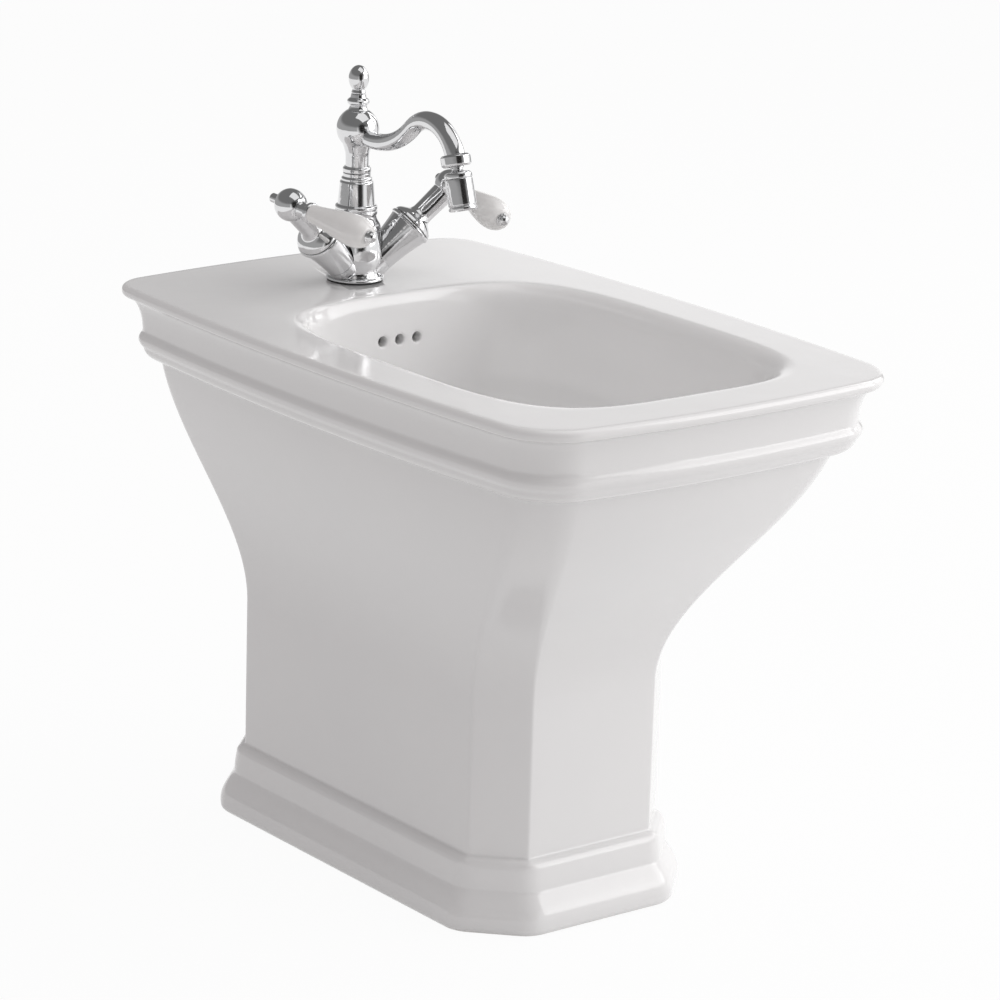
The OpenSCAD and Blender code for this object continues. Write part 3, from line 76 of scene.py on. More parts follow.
OUTLET_LEAN, TUBE_R1, TUBE_R2, WATERWAY_R, COLLAR_R, COLLAR_T = 17.0, 6.3, 7.8, 4.2, 11.5, 9.0
JOINT_R, JOINT_DROP, NOZZLE_R, NOZZLE_L, NOZZLE_TOP, SEAT_T = 7.5, 9.0, 10.6, 24.0, 5.0, 0.75
BONNET_ROOT, BONNET_ROOT_R, BONNET_RIM, BONNET_RIM_R = 25.0, 12.5, 61.0, 18.2
HUB_S, HUB_R, SPINDLE_R, CARTRIDGE_R = 104.4, 12.6, 4.0, 8.9
LEVER_L, HANDLE_R, HANDLE_ROOT_R, TIP_R = 91.0, 12.4, 7.0, 4.3
HANDLE_FULLEST = 0.72  # where the handle is thickest, as a share of its length
LEVER_ROD_R, LEVER_SCREW_R = 2.5, 3.7
ROD_R, KNOB_R, KNOB_L, KNOB_TOP_H = 2.5, 7.9, 21.6, 166.8
RUN_GAP, FIT_GAP, FACE_GAP = 0.05, 0.2, 0.3

EDGE_Z = DECK_H - EDGE_T
COVE_Z = EDGE_Z - COVE_H
BEAD_Z = COVE_Z - BEAD_H
NECK_Z = BEAD_Z - OVOLO_H
FLARE_TOP_Z = DECK_H - FLARE_TOP_DROP
CEILING_Z = DECK_H - DECK_T
FLOOR_Z = DECK_H - BOWL_DEPTH
TURN_Z = DECK_H - WALL_DROP
DRAIN_FOOT_Z = FLOOR_Z - DRAIN_T
CAVITY_IN = COVE_IN + WALL
OVERFLOW_Z = DECK_H - OVERFLOW_DROP
FRONT_EXTRA_R = FRONT_CORNER_R - RIM_CORNER_R
CHAMFER = 45  # angle of the pedestal's corners, in degrees
OFFSET_LEG = 2 - np.sqrt(2)  # growth of a chamfer's leg for each unit of offset

# ---- Forms that are finer here than in the CAD model ----
ARRIS_R, PLINTH_ARRIS_R = 4.0, 24.0  # rounding of the pedestal's and the plinth's vertical edges
FOOT_ROUND = 5.0  # rounding of the plinth's lower edge
ROUND_Z = 9.0  # where the plinth's side starts to curve in
STEP_Z, STEP_OUT = 31.0, 9.0  # where that curve meets the small cove above it
CAP_Z, CAP_OUT = 46.0, 7.6  # where the cove meets the quarter round on top
PLINTH_TOP_H = 54.0
SOFTEN = 1.1  # how far the glaze rounds the edges of the mouldings
MOUTH_ROUND, MOUTH_SINK = 2.0, 0.6  # rounding of an overflow hole's mouth, and how deep it sits
POLISH = 0.45  # how far polishing rounds a sharp edge of the tap
SHARP_TURN = 38  # a profile's corner that turns further than this, in degrees, is a sharp one
BONNET_SHELL = 1.8  # thickness of a valve's bonnet

# ---- Resolution ----
CORNER_N, END_N, SIDE_N = 18, 25, 33  # points on a corner, and between corners
BOWL_EVEN = 0.6  # evenness of the bowl's points, from the rim's own spacing at 0 to equal at 1
STEP = 1.3  # spacing of the rings on the mouldings
PEDESTAL_RINGS = (1.5, 3, 6, 12, 30, 60, 85)  # heights of the pedestal's rings over the plinth
FLARE_N, SKIN_N = 56, 16  # rings of the flare, outside and inside
DECK_SHARES = (0.03, 0.1, 0.3, 0.6, 0.85, 0.95)  # rings from the deck's edge to the bowl's lip
TURNED_N, TUBE_N, BORE_N, HOLE_N = 96, 64, 48, 32  # points round a turned piece, tube, bore, hole
CREASE = 40  # edges of the tap that are sharper than this, in degrees, are shaded as edges


def lerp(a, b, t):
    return a + (b - a) * t


def smooth(t):
    t = np.clip(t, 0.0, 1.0)
    return t * t * (3 - 2 * t)


def flare(z):
    """How far the body has narrowed at z: 0 at the neck and above, 1 at the pedestal."""
    return smooth((FLARE_TOP_Z - z) / (FLARE_TOP_Z - FLARE_FOOT_H))


def corner_curve(c, flatness, arris):
    """Points from a corner's long side to its short side, relative to the sharp corner.

    The corner is an arc at flatness 0, and at 1 a chamfer with edges rounded by arris.
    """
    t = np.linspace(0, 1, CORNER_N)
    a = np.radians(90 * t)
    arc = np.stack([c * (np.cos(a) - 1), c * (np.sin(a) - 1)], axis=1)
    far = c + arris * np.tan(np.radians(CHAMFER / 2))
    third = np.clip(t * 3, 0, 1)
    last = np.clip(t * 3 - 2, 0, 1)
    rise = np.radians(CHAMFER * third)
    fall = np.radians(CHAMFER + CHAMFER * last)
    first_arc = np.stack([arris * (np.cos(rise) - 1), arris * np.sin(rise) - far], axis=1)
    last_arc = np.stack([arris * np.cos(fall) - far, arris * (np.sin(fall) - 1)], axis=1)
    middle = np.clip(t * 3 - 1, 0, 1)[:, None]
    chamfer = np.where(t[:, None] <= 1 / 3, first_arc, np.where(
        t[:, None] >= 2 / 3, last_arc, lerp(first_arc, last_arc, middle)))
    return lerp(arc, chamfer, flatness)


def between(start, stop, n):
    """n numbers, evenly spaced, strictly between start and stop."""
    return lerp(start, stop, (np.arange(n) + 1) / (n + 1))


def outline(half_w, front, back, c, c_front, bow_x, bow_y, flatness, z, arris=ARRIS_R):
    """Rectangle with rounded or chamfered corners and bowed sides, as a ring of points at z.

    Its corners measure c at the back and c_front at the front.
    """
    a, b = half_w - bow_x, (back - front) / 2 - bow_y
    mid = (front + back) / 2
    rear, fore = [corner_curve(leg, flatness, arris) + [a, b] for leg in (c, c_front)]
    rear_xs, fore_xs = [between(curve[-1, 0], -curve[-1, 0], END_N) for curve in (rear, fore)]
    ys = between(rear[0, 1], -fore[0, 1], SIDE_N)
    points = np.concatenate([
        rear, np.stack([rear_xs, np.full(END_N, b)], 1),
        rear[::-1] * [-1, 1], np.stack([np.full(SIDE_N, -a), ys], 1),
        fore * [-1, -1], np.stack([-fore_xs, np.full(END_N, -b)], 1),
        fore[::-1] * [1, -1], np.stack([np.full(SIDE_N, a), ys[::-1]], 1)])
    x, y = points[:, 0], points[:, 1]
    bowed_x = x * (1 + bow_x / a * (1 - (y / b) ** 2))
    bowed_y = y * (1 + bow_y / b * (1 - (x / a) ** 2)) + mid
    return np.stack([bowed_x, bowed_y, np.full(len(x), float(z))], axis=1)


def rim_ring(z, d):
    """Ring of the rim or cornice, moved in by d."""
    c = lerp(RIM_CORNER_R, NECK_CORNER_R, d / NECK_IN)
    return outline(
        RIM_W / 2 - d, -RIM_L / 2 + d, RIM_L / 2 - d,
        c, c + FRONT_EXTRA_R, SIDE_BOW, END_BOW, 0, z)


def body_ring(z, d):
    """Ring of the flare, pedestal or plinth, moved out by d."""
    f = flare(z)
    c = lerp(NECK_CORNER_R, PEDESTAL_CHAMFER, f) + d * OFFSET_LEG
    return outline(
        lerp(RIM_W / 2 - NECK_IN, PEDESTAL_W / 2, f) + d,
        lerp(-RIM_L / 2 + NECK_IN, -PEDESTAL_FRONT, f) - d,
        lerp(RIM_L / 2 - NECK_IN, PEDESTAL_BACK, f) + d,
        c, c + FRONT_EXTRA_R * (1 - f), SIDE_BOW * (1 - f), END_BOW * (1 - f), f, z,
        lerp(PLINTH_ARRIS_R, ARRIS_R, smooth((z - CAP_Z) / (PLINTH_TOP_H - CAP_Z))))


def mix_rings(r1, r2, t, z):
    ring = lerp(r1, r2, t)
    ring[:, 2] = z
    return ring


def even_bowl_dirs():
    """Directions of the bowl's points: the rim's own, evened out so that the bowl is smooth."""
    ring = rim_ring(0, 0)
    own = np.unwrap(np.arctan2(ring[:, 1] / RIM_L, ring[:, 0] / RIM_W))
    even = own[0] + np.arange(len(own)) * 2 * np.pi / len(own)
    return lerp(own, even, BOWL_EVEN)


BOWL_DIRS = even_bowl_dirs()


def bowl_ring(z, inset, m=0, d=0.0, square=WALL_SQUARE):
    """Ring of the bowl: inset from the lip, drawn towards the drain by m, moved out by d."""
    half_w = BOWL_W / 2 - inset + d
    rear_inset = REAR_LEAN * inset
    half_l = (BOWL_FRONT + BOWL_BACK - inset - rear_inset) / 2 + d
    mid = (BOWL_BACK - BOWL_FRONT + inset - rear_inset) / 2
    r = DRAIN_FLAT_R + d
    ux, uy = np.cos(BOWL_DIRS), np.sin(BOWL_DIRS)
    s = (np.abs(ux) ** square + np.abs(uy) ** square) ** (-1 / square)
    x = lerp(half_w * s * ux, r * ux, m)
    y = lerp(mid + half_l * s * uy, DRAIN_Y + r * uy, m)
    return np.stack([x, y, np.full(len(x), float(z))], axis=1)


def turn(start, stop, length):
    """Angles from start to stop in degrees, in steps that suit an arc of that length in mm."""
    return np.linspace(start, stop, max(3, int(abs(length) / STEP) + 1))


def outer_rings():
    """Rings up the outside, from the floor to the deck's edge."""
    rings = []
    for t in np.radians(turn(-90, 0, 12)):
        d = PLINTH_OUT - FOOT_ROUND * (1 - np.cos(t))
        rings.append(body_ring(FOOT_ROUND * (1 + np.sin(t)), d))
    rings.append(body_ring((FOOT_ROUND + ROUND_Z) / 2, PLINTH_OUT))
    for t in turn(0, 90, 30):
        d = lerp(STEP_OUT, PLINTH_OUT, np.cos(np.radians(t)))
        rings.append(body_ring(lerp(ROUND_Z, STEP_Z, t / 90), d))
    for t in np.linspace(0.06, 0.94, 12):
        rings.append(body_ring(lerp(STEP_Z, CAP_Z, t), lerp(STEP_OUT, CAP_OUT, t * t)))
    for t in np.radians(turn(0, 90, 15)):
        rings.append(body_ring(lerp(CAP_Z, PLINTH_TOP_H, np.sin(t)), CAP_OUT * np.cos(t)))
    rings += [body_ring(PLINTH_TOP_H + h, 0) for h in PEDESTAL_RINGS]
    rings += [body_ring(z, 0) for z in np.linspace(FLARE_FOOT_H - 8, NECK_Z - 1, FLARE_N)]
    neck, bead_foot = body_ring(NECK_Z, 0), rim_ring(BEAD_Z, COVE_IN + 0.5)
    for t in np.radians(turn(0, 90, 15)):
        rings.append(mix_rings(neck, bead_foot, np.sin(t), BEAD_Z - OVOLO_H * np.cos(t)))
    for u in np.linspace(0.08, 1, 11):
        rings.append(rim_ring(BEAD_Z + BEAD_H * u, COVE_IN - BEAD_OUT * np.sin(np.pi * u)))
    for t in np.radians(turn(4, 90, 28)):
        d = lerp(COVE_IN, EDGE_ROUND, 1 - np.cos(t))
        rings.append(rim_ring(COVE_Z + COVE_H * np.sin(t), d))
    for t in np.radians(turn(-75, 90, 16)):
        d = EDGE_ROUND * (1 - np.cos(t))
        rings.append(rim_ring(EDGE_Z + EDGE_T / 2 * (1 + np.sin(t)), d))
    return rings


def bowl_rings(rim_top):
    """Rings from the deck's edge over the lip and down the bowl to the drain."""
    lip = bowl_ring(DECK_H, 0, square=LIP_SQUARE)
    rings = [mix_rings(rim_top, lip, t, DECK_H) for t in DECK_SHARES]
    for t in turn(0, 90, 26):
        a = np.radians(t)
        square = lerp(LIP_SQUARE, WALL_SQUARE, t / 90)
        z = DECK_H - LIP_H * (1 - np.cos(a))
        rings.append(bowl_ring(z, LIP_W * np.sin(a), square=square))
    for z in np.linspace(DECK_H - LIP_H, TURN_Z, 14)[1:-1]:
        share = (DECK_H - LIP_H - z) / (WALL_DROP - LIP_H)
        rings.append(bowl_ring(z, LIP_W + WALL_LEAN * share))
    for a in np.radians(np.linspace(0, 90, 40)):
        z = lerp(TURN_Z, FLOOR_Z, np.sin(a))
        rings.append(bowl_ring(z, LIP_W + WALL_LEAN, 1 - np.cos(a)))
    flat_inset = 6
    rings.append(bowl_ring(FLOOR_Z, 0, 1, -flat_inset))
    return rings


def inner_rings():
    """Rings of the inner skin, from under the bowl over the ceiling and down to the floor."""
    ceiling_round, foot_edge = 5, 2
    rings = [bowl_ring(FLOOR_Z - WALL, 0, 1, DRAIN_HOLE_R / 2 - DRAIN_FLAT_R)]
    for a in np.radians(np.linspace(90, 0, 13)):
        z = lerp(TURN_Z, FLOOR_Z, np.sin(a)) - WALL * np.sin(a)
        rings.append(bowl_ring(z, LIP_W + WALL_LEAN, 1 - np.cos(a), WALL * np.cos(a)))
    rings += [
        bowl_ring(CEILING_Z - ceiling_round, LIP_W + 2, 0, WALL),
        bowl_ring(CEILING_Z, LIP_W - 3, 0, WALL), rim_ring(CEILING_Z, CAVITY_IN + 4),
        rim_ring(CEILING_Z - ceiling_round, CAVITY_IN), rim_ring(BEAD_Z, CAVITY_IN)]
    rings += [body_ring(z, -WALL) for z in np.linspace(NECK_Z, FLARE_FOOT_H, SKIN_N)]
    rings += [body_ring(z, -WALL) for z in (80, 10, foot_edge)]
    rings.append(body_ring(0, foot_edge - WALL))
    return rings


def soften(grid, reach):
    """Rounds the edges that run round the piece, leaving its first and last rings alone."""
    step = np.linalg.norm(np.diff(grid, axis=0), axis=2).mean(axis=1)
    s = np.concatenate([[0], np.cumsum(step)])
    weight = np.exp(-((s[:, None] - s[None, :]) ** 2) / (2 * reach**2)) * np.gradient(s)[None, :]
    weight /= weight.sum(axis=1, keepdims=True)
    done = np.einsum("ij,jkc->ikc", weight, grid)
    done[0], done[-1] = grid[0], grid[-1]
    return done


# ---- Meshes ----
def link(name, data):
    """New object of the scene that holds the data."""
    obj = bpy.data.objects.new(name, data)
    bpy.context.scene.collection.objects.link(obj)
    return obj


def mesh_object(name, points, faces, shade_smooth=True):
    """Object with a mesh of points in millimetres."""
    mesh = bpy.data.meshes.new(name)
    mesh.from_pydata([tuple(p) for p in np.asarray(points) * MM], [], faces)
    mesh.validate()
    mesh.update()
    if shade_smooth:
        mesh.shade_smooth()
    return link(name, mesh)


def grid_faces(rows, n, loop):
    """Quads between rings of n points; with loop, the last ring joins the first."""
    faces = []
    for i in range(rows if loop else rows - 1):
        for j in range(n):
            a, b = i * n + j, i * n + (j + 1) % n
            c, d = ((i + 1) % rows) * n + (j + 1) % n, ((i + 1) % rows) * n + j
            faces.append((a, b, c, d))
    return faces


def tube_solid(rings):
    """Points and faces of a closed solid through open-ended rings, its two ends capped."""
    n = len(rings[0])
    faces = grid_faces(len(rings), n, False)
    faces.append(tuple(reversed(range(n))))
    faces.append(tuple(range((len(rings) - 1) * n, len(rings) * n)))
    return np.concatenate(rings), faces


def turned_points(profile, steps):
    """Rings of points turned about +Z from [radius, height] points."""
    angle = np.arange(steps) * 2 * np.pi / steps
    ux, uy = np.cos(angle), np.sin(angle)
    return [np.stack([r * ux, r * uy, np.full(steps, h)], 1) for r, h in profile]


def turned_solid(profile, steps):
    """Closed solid turned about +Z from [radius, height] points, listed upwards."""
    return tube_solid(turned_points(profile, steps))


def shift(x, y, z):
    return Matrix.Translation((x, y, z))


def spin(degrees, axis):
    return Matrix.Rotation(np.radians(degrees), 4, axis)


def placed(solid, matrix):
    """The solid moved by a matrix."""
    points, faces = solid
    m = np.array(matrix)
    return points @ m[:3, :3].T + m[:3, 3], faces


def cylinder(r, h, place, steps=BORE_N):
    return placed(turned_solid([(r, 0), (r, h)], steps), place)


def box_solid(x0, x1, y0, y1, z0, z1):
    corners = ((x0, y0), (x1, y0), (x1, y1), (x0, y1))
    points = np.array([(x, y, z) for z in (z0, z1) for x, y in corners], float)
    faces = [(3, 2, 1, 0), (4, 5, 6, 7), (0, 1, 5, 4), (1, 2, 6, 5), (2, 3, 7, 6), (3, 0, 4, 7)]
    return points, faces


def joined(name, solids):
    """One object that holds all the solids."""
    points, faces, base = [], [], 0
    for p, f in solids:
        points.append(p)
        faces += [tuple(i + base for i in face) for face in f]
        base += len(p)
    return mesh_object(name, np.concatenate(points), faces, False)


def carve(obj, tool, operation):
    """Applies a boolean of the tool to the object and removes the tool."""
    modifier = obj.modifiers.new(operation.lower(), "BOOLEAN")
    modifier.operation = operation
    modifier.solver = "EXACT"
    modifier.object = tool
    depsgraph = bpy.context.evaluated_depsgraph_get()
    mesh = bpy.data.meshes.new_from_object(obj.evaluated_get(depsgraph))
    old = obj.data
    obj.modifiers.clear()
    obj.data = mesh
    bpy.data.meshes.remove(old)
    bpy.data.objects.remove(tool)


def rear_wall(z, d):
    """Place along Y of the bowl's rear wall at z, moved out by d."""
    inset = LIP_W + WALL_LEAN * (DECK_H - LIP_H - z) / (WALL_DROP - LIP_H)
    return BOWL_BACK - REAR_LEAN * inset + d


def rear_line(top_z, d):
    """Points [y, z] down the bowl's rear wall and along its bottom to the drain, moved out by d."""
    points = [(rear_wall(top_z, d), top_z)]
    for a in np.radians(np.linspace(0, 90, 7)):
        y = lerp(rear_wall(TURN_Z, 0), DRAIN_Y + DRAIN_FLAT_R, 1 - np.cos(a)) + d * np.cos(a)
        points.append((y, lerp(TURN_Z, FLOOR_Z, np.sin(a)) - d * np.sin(a)))
    points.append((DRAIN_Y + DRAIN_HOLE_R / 2, FLOOR_Z - d))
    return points


def rear_band(width, top_z, d1, d2):
    """Band behind the bowl's rear wall, between two distances from its surface."""
    line = rear_line(top_z, d1) + rear_line(top_z, d2)[::-1]
    rings = [np.array([(x, y, z) for y, z in line]) for x in (-width / 2, width / 2)]
    return tube_solid(rings)


def ceramic_additions():
    """The screw lugs with the overflow's duct, and the drain's boss."""
    grip, lug_room, floor_gap, fuse, duct_fuse = 2, 2.4, 0.02, 3, 4
    wall_x = PEDESTAL_W / 2 - WALL + grip
    reach = wall_x - (SCREW_SPACING / 2 - lug_room * SCREW_HOLE_R)
    solids = []
    for s in (-1, 1):
        x0, x1 = sorted((s * wall_x, s * (wall_x - reach)))
        y0, y1 = SCREW_Y - LUG_L / 2, SCREW_Y + LUG_L / 2
        solids.append(box_solid(x0, x1, y0, y1, floor_gap, LUG_T))
    duct = rear_band(
        CHANNEL_W + 2 * CHANNEL_SKIN, CEILING_Z + fuse,
        WALL - duct_fuse, 2 * CHANNEL_SKIN + CHANNEL_GAP)
    place = shift(0, DRAIN_Y, DRAIN_FOOT_Z)
    boss = cylinder(DRAIN_FLAT_R + 4, DRAIN_T - WALL + fuse, place, TUBE_N)
    return joined("lugs", solids + [duct]), joined("boss", [boss])


def overflow_cutter(x):
    """Round hole through the bowl's rear wall, with a rounded mouth as the glaze leaves it."""
    mouth_r = OVERFLOW_R + 2.2
    mouth = [(mouth_r, -12), (mouth_r, -1.2)]
    for a in np.radians(range(0, 91, 15)):
        r = OVERFLOW_R + MOUTH_ROUND * (1 - np.sin(a))
        mouth.append((r, MOUTH_ROUND * (1 - np.cos(a)) - MOUTH_SINK))
    mouth.append((OVERFLOW_R, CHANNEL_SKIN + CHANNEL_GAP / 2))
    place = shift(x, rear_wall(OVERFLOW_Z, 0), OVERFLOW_Z) @ spin(-90, "X")
    return placed(turned_solid(mouth, HOLE_N), place)


def window_cutter():
    """Arched service opening through the back."""
    r = WINDOW_W / 2
    arch = [(r * np.cos(a), WINDOW_H - r + r * np.sin(a)) for a in np.radians(range(0, 181, 6))]
    line = [(r, -CUT)] + arch + [(-r, -CUT)]
    y0, y1 = PEDESTAL_BACK - 2 * WALL - CUT, RIM_L / 2
    rings = [np.array([(x, y, z) for x, z in line]) for y in (y1, y0)]
    return tube_solid(rings)


def make_ceramic():
    outer = outer_rings()
    grid = soften(np.array(outer + bowl_rings(outer[-1])), SOFTEN)
    grid = np.concatenate([grid, np.array(inner_rings())])
    rows, n = grid.shape[:2]
    body = mesh_object("ceramic", grid.reshape(-1, 3), grid_faces(rows, n, True))
    for tool in ceramic_additions():
        carve(body, tool, "UNION")
    channel = rear_band(
        CHANNEL_W, OVERFLOW_Z + OVERFLOW_R + 3, CHANNEL_SKIN, CHANNEL_SKIN + CHANNEL_GAP)
    place = shift(0, TAP_Y, CEILING_Z - CUT)
    tap_hole = cylinder(TAP_HOLE_R, DECK_T + 2 * CUT, place, TUBE_N)
    screw_holes = []
    for s in (-1, 1):
        place = shift(s * SCREW_SPACING / 2, SCREW_Y, -CUT)
        screw_holes.append(cylinder(SCREW_HOLE_R, LUG_T + 2 * CUT, place, TUBE_N))
    carve(body, joined("bands", [channel, window_cutter(), tap_hole] + screw_holes), "DIFFERENCE")
    place = shift(0, DRAIN_Y, DRAIN_FOOT_Z - CUT)
    drain_hole = cylinder(DRAIN_HOLE_R, DRAIN_T + 2 * CUT, place, TUBE_N)
    middle = (OVERFLOW_COUNT - 1) / 2
    overflow_holes = [overflow_cutter(OVERFLOW_PITCH * (i - middle)) for i in range(OVERFLOW_COUNT)]
    carve(body, joined("holes", [drain_hole] + overflow_holes), "DIFFERENCE")
    return body


# ---- Finer tap: turned and polished pieces in the CAD's own places ----
# The plain numbers in its profiles are the small steps, beads and fillets of the turning, in mm.
def sin(degrees):
    return np.sin(np.radians(degrees))


def cos(degrees):
    return np.cos(np.radians(degrees))


def at_tap(h=0.0):
    return shift(0, TAP_Y, DECK_H + h)


def at_valve(side, s=0.0):
    """Frame of a valve at s: +Z runs out along the valve's axis and +X along its lever."""
    azimuth = 180 + VALVE_SPLAY if side < 0 else -VALVE_SPLAY
    straight = np.degrees(np.arctan2(-cos(azimuth), -sin(azimuth) * sin(VALVE_RISE)))
    outwards = at_tap() @ spin(azimuth, "Z") @ spin(90 - VALVE_RISE, "Y")
    return outwards @ spin(straight - side * LEVER_REST, "Z") @ shift(0, 0, s)


def along_lever(side, s=0.0):
    """Frame on a lever's own axis, which is +Z, at s from its hub."""
    return at_valve(side, HUB_S) @ spin(90, "Y") @ shift(0, 0, s)


def at_outlet(s=0.0):
    """Frame at the spout's end: +Z is the way the water leaves."""
    reach = CREST_REACH + CREST_R * cos(OUTLET_LEAN)
    h = CREST_H + CREST_R * sin(OUTLET_LEAN)
    return at_tap() @ shift(0, -reach, h) @ spin(180 - OUTLET_LEAN, "X") @ shift(0, 0, s)


def polished(profile, closed):
    """The profile with gentle corners drawn as curves and sharp ones rounded by polishing."""
    gentle_reach, long_side, side_step, merge_gap = 50.0, 3.2, 0.25, 0.02
    points = [np.array(p, float) for p in profile]
    n = len(points)
    done = []
    for i, p in enumerate(points):
        if not closed and i in (0, n - 1):
            done.append(p)
            continue
        before, after = points[i - 1] - p, points[(i + 1) % n] - p
        l1, l2 = np.linalg.norm(before), np.linalg.norm(after)
        if min(l1, l2) < 1e-6:
            continue
        turn_angle = 180 - np.degrees(np.arccos(np.clip(before @ after / (l1 * l2), -1, 1)))
        reach = POLISH if turn_angle > SHARP_TURN else gentle_reach
        t1, t2 = min(reach, l1 / 2), min(reach, l2 / 2)
        start, stop = p + before * t1 / l1, p + after * t2 / l2
        if l1 > long_side * t1:
            done.append(start + before / l1 * min(side_step, t1))
        for u in np.linspace(0, 1, 3 + int(turn_angle / 14)):
            done.append((1 - u) ** 2 * start + 2 * u * (1 - u) * p + u**2 * stop)
        if l2 > long_side * t2:
            done.append(stop + after / l2 * min(side_step, t2))
    kept = [done[0]]
    for p in done[1:]:
        if np.linalg.norm(p - kept[-1]) > merge_gap:
            kept.append(p)
    return kept


def turned(profile, place):
    """Solid turned from a profile that starts and ends on the axis, placed by a matrix."""
    rounded = polished(profile, False)
    tiny = 0.04
    inner = [tuple(p) for p in rounded if p[0] > tiny]
    caps = [(tiny, rounded[0][1])] + inner + [(tiny, rounded[-1][1])]
    return placed(turned_solid(caps, TURNED_N), place)


def turned_ring(profile, place):
    """Ring turned from a closed profile off the axis, placed by a matrix."""
    rings = turned_points(polished(profile, True), TURNED_N)
    return placed((np.concatenate(rings), grid_faces(len(rings), TURNED_N, True)), place)


def ball_arc(r, centre, start, stop, n):
    """Profile points of a ball round [0, centre] between two angles above its equator."""
    return [(r * cos(a), centre + r * sin(a)) for a in np.linspace(start, stop, n)]


def spout_line():
    """Points [reach, height, heading] of the spout's centre line: a dip that runs into a crest."""
    gap = DIP_H - CREST_H
    dip_r = ((CREST_REACH - DIP_REACH) ** 2 + gap**2 - CREST_R**2) / (2 * (CREST_R - gap))
    meet = np.degrees(np.arctan2(DIP_H + dip_r - CREST_H, DIP_REACH - CREST_REACH))
    first = -np.degrees(np.arcsin(DIP_REACH / dip_r)) - 90
    dip = [(DIP_REACH + dip_r * cos(a), DIP_H + dip_r + dip_r * sin(a), a + 90)
           for a in np.linspace(first, meet - 180, 30)]
    crest = [(CREST_REACH + CREST_R * cos(a), CREST_H + CREST_R * sin(a), a - 90)
             for a in np.linspace(meet, OUTLET_LEAN, 44)[1:]]
    return np.array(dip + crest)


def swept(r1, r2, extra=0.0, steps=TUBE_N):
    """Round tube along the spout's centre line, its radius growing from r1 to r2.

    With extra, the tube runs straight on by that length.
    """
    line = spout_line()
    last = len(line) - 1
    x, h, heading = line[-1]
    if extra:
        line = np.vstack([line, [x + extra * cos(heading), h + extra * sin(heading), heading]])
    a = np.arange(steps) * 2 * np.pi / steps
    rings = []
    for i, (x, h, heading) in enumerate(line):
        r = lerp(r1, r2, min(i / last, 1))
        across, up = r * np.cos(a), r * np.sin(a)
        rings.append(np.stack([across, -x + up * sin(heading), h + up * cos(heading)], 1))
    return placed(tube_solid(rings), at_tap())


FINE = {}  # the finer pieces, by the name of the CAD node that each stands for


def fine(name, solids, cuts=()):
    """Piece made of solids joined together less the cuts, for the CAD node of that name."""
    piece = joined(name + "_fine", solids[:1])
    for i, solid in enumerate(solids[1:]):
        carve(piece, joined(f"add_{i}", [solid]), "UNION")
    for i, solid in enumerate(cuts):
        carve(piece, joined(f"cut_{i}", [solid]), "DIFFERENCE")
    piece.data.shade_smooth()
    piece.data.set_sharp_from_angle(angle=np.radians(CREASE))
    FINE[name] = piece


def bonnet_room(side):
    """Cutter that keeps the mixer body and the column clear of a bonnet."""
    profile = [(BONNET_ROOT_R + FACE_GAP, 0), (BONNET_RIM_R + FACE_GAP, BONNET_RIM - BONNET_ROOT)]
    return placed(turned_solid(profile, TURNED_N), at_valve(side, BONNET_ROOT))


def make_base_and_body():
    fine("base_flange", [turned_ring([
        (FOOT_R + FIT_GAP, 0), (FLANGE_R, 0), (FLANGE_R, 1), (FLANGE_R - 0.3, 1.7),
        (FLANGE_R - 1, 2.2), (FLANGE_R - 1.8, FLANGE_H), (FOOT_R + FIT_GAP, FLANGE_H)],
        at_tap(GASKET_T))])
    waist = FOOT_R - 1.6
    top = BODY_H - GASKET_T
    body = [
        (0, 0), (FOOT_R, 0), (FOOT_R, FLANGE_H + 0.3), (waist + 0.6, FLANGE_H + 2),
        (waist, FLANGE_H + 4.5), (BELLY_R - 2, FLANGE_H + 8), (BELLY_R - 0.5, FLANGE_H + 12),
        (BELLY_R, FLANGE_H + 16), (BELLY_R - 0.4, BODY_H - 13), (BELLY_R - 1.5, BODY_H - 7),
        (BELLY_R - 2, top), (0, top)]
    roots = [cylinder(BONNET_ROOT_R, BONNET_ROOT, at_valve(side), TURNED_N)
             for side in (-1, 1)]
    step_r, step_h, far = FOOT_R - RUN_GAP, FLANGE_H + FIT_GAP, 2 * BELLY_R
    cuts = [
        cylinder(far, BELLY_R, at_tap(GASKET_T - BELLY_R)),
        turned_ring([(step_r, -0.01), (far, -0.01), (far, step_h), (step_r, step_h)],
                    at_tap(GASKET_T)),
        cylinder(ROD_R + 0.5, BODY_H + 2 * CUT, at_tap(-CUT))]
    for side in (-1, 1):
        cuts.append(cylinder(CARTRIDGE_R + RUN_GAP, BONNET_ROOT, at_valve(side, 20)))
        cuts.append(bonnet_room(side))
    for x, y, r in INLETS_AND_STUD:
        hole_foot = at_tap(GASKET_T - 0.01) @ shift(x, y, 0)
        cuts.append(cylinder(r, INLET_DEPTH + 0.01, hole_foot))
    fine("mixer_body", [turned(body, at_tap(GASKET_T))] + roots, cuts)


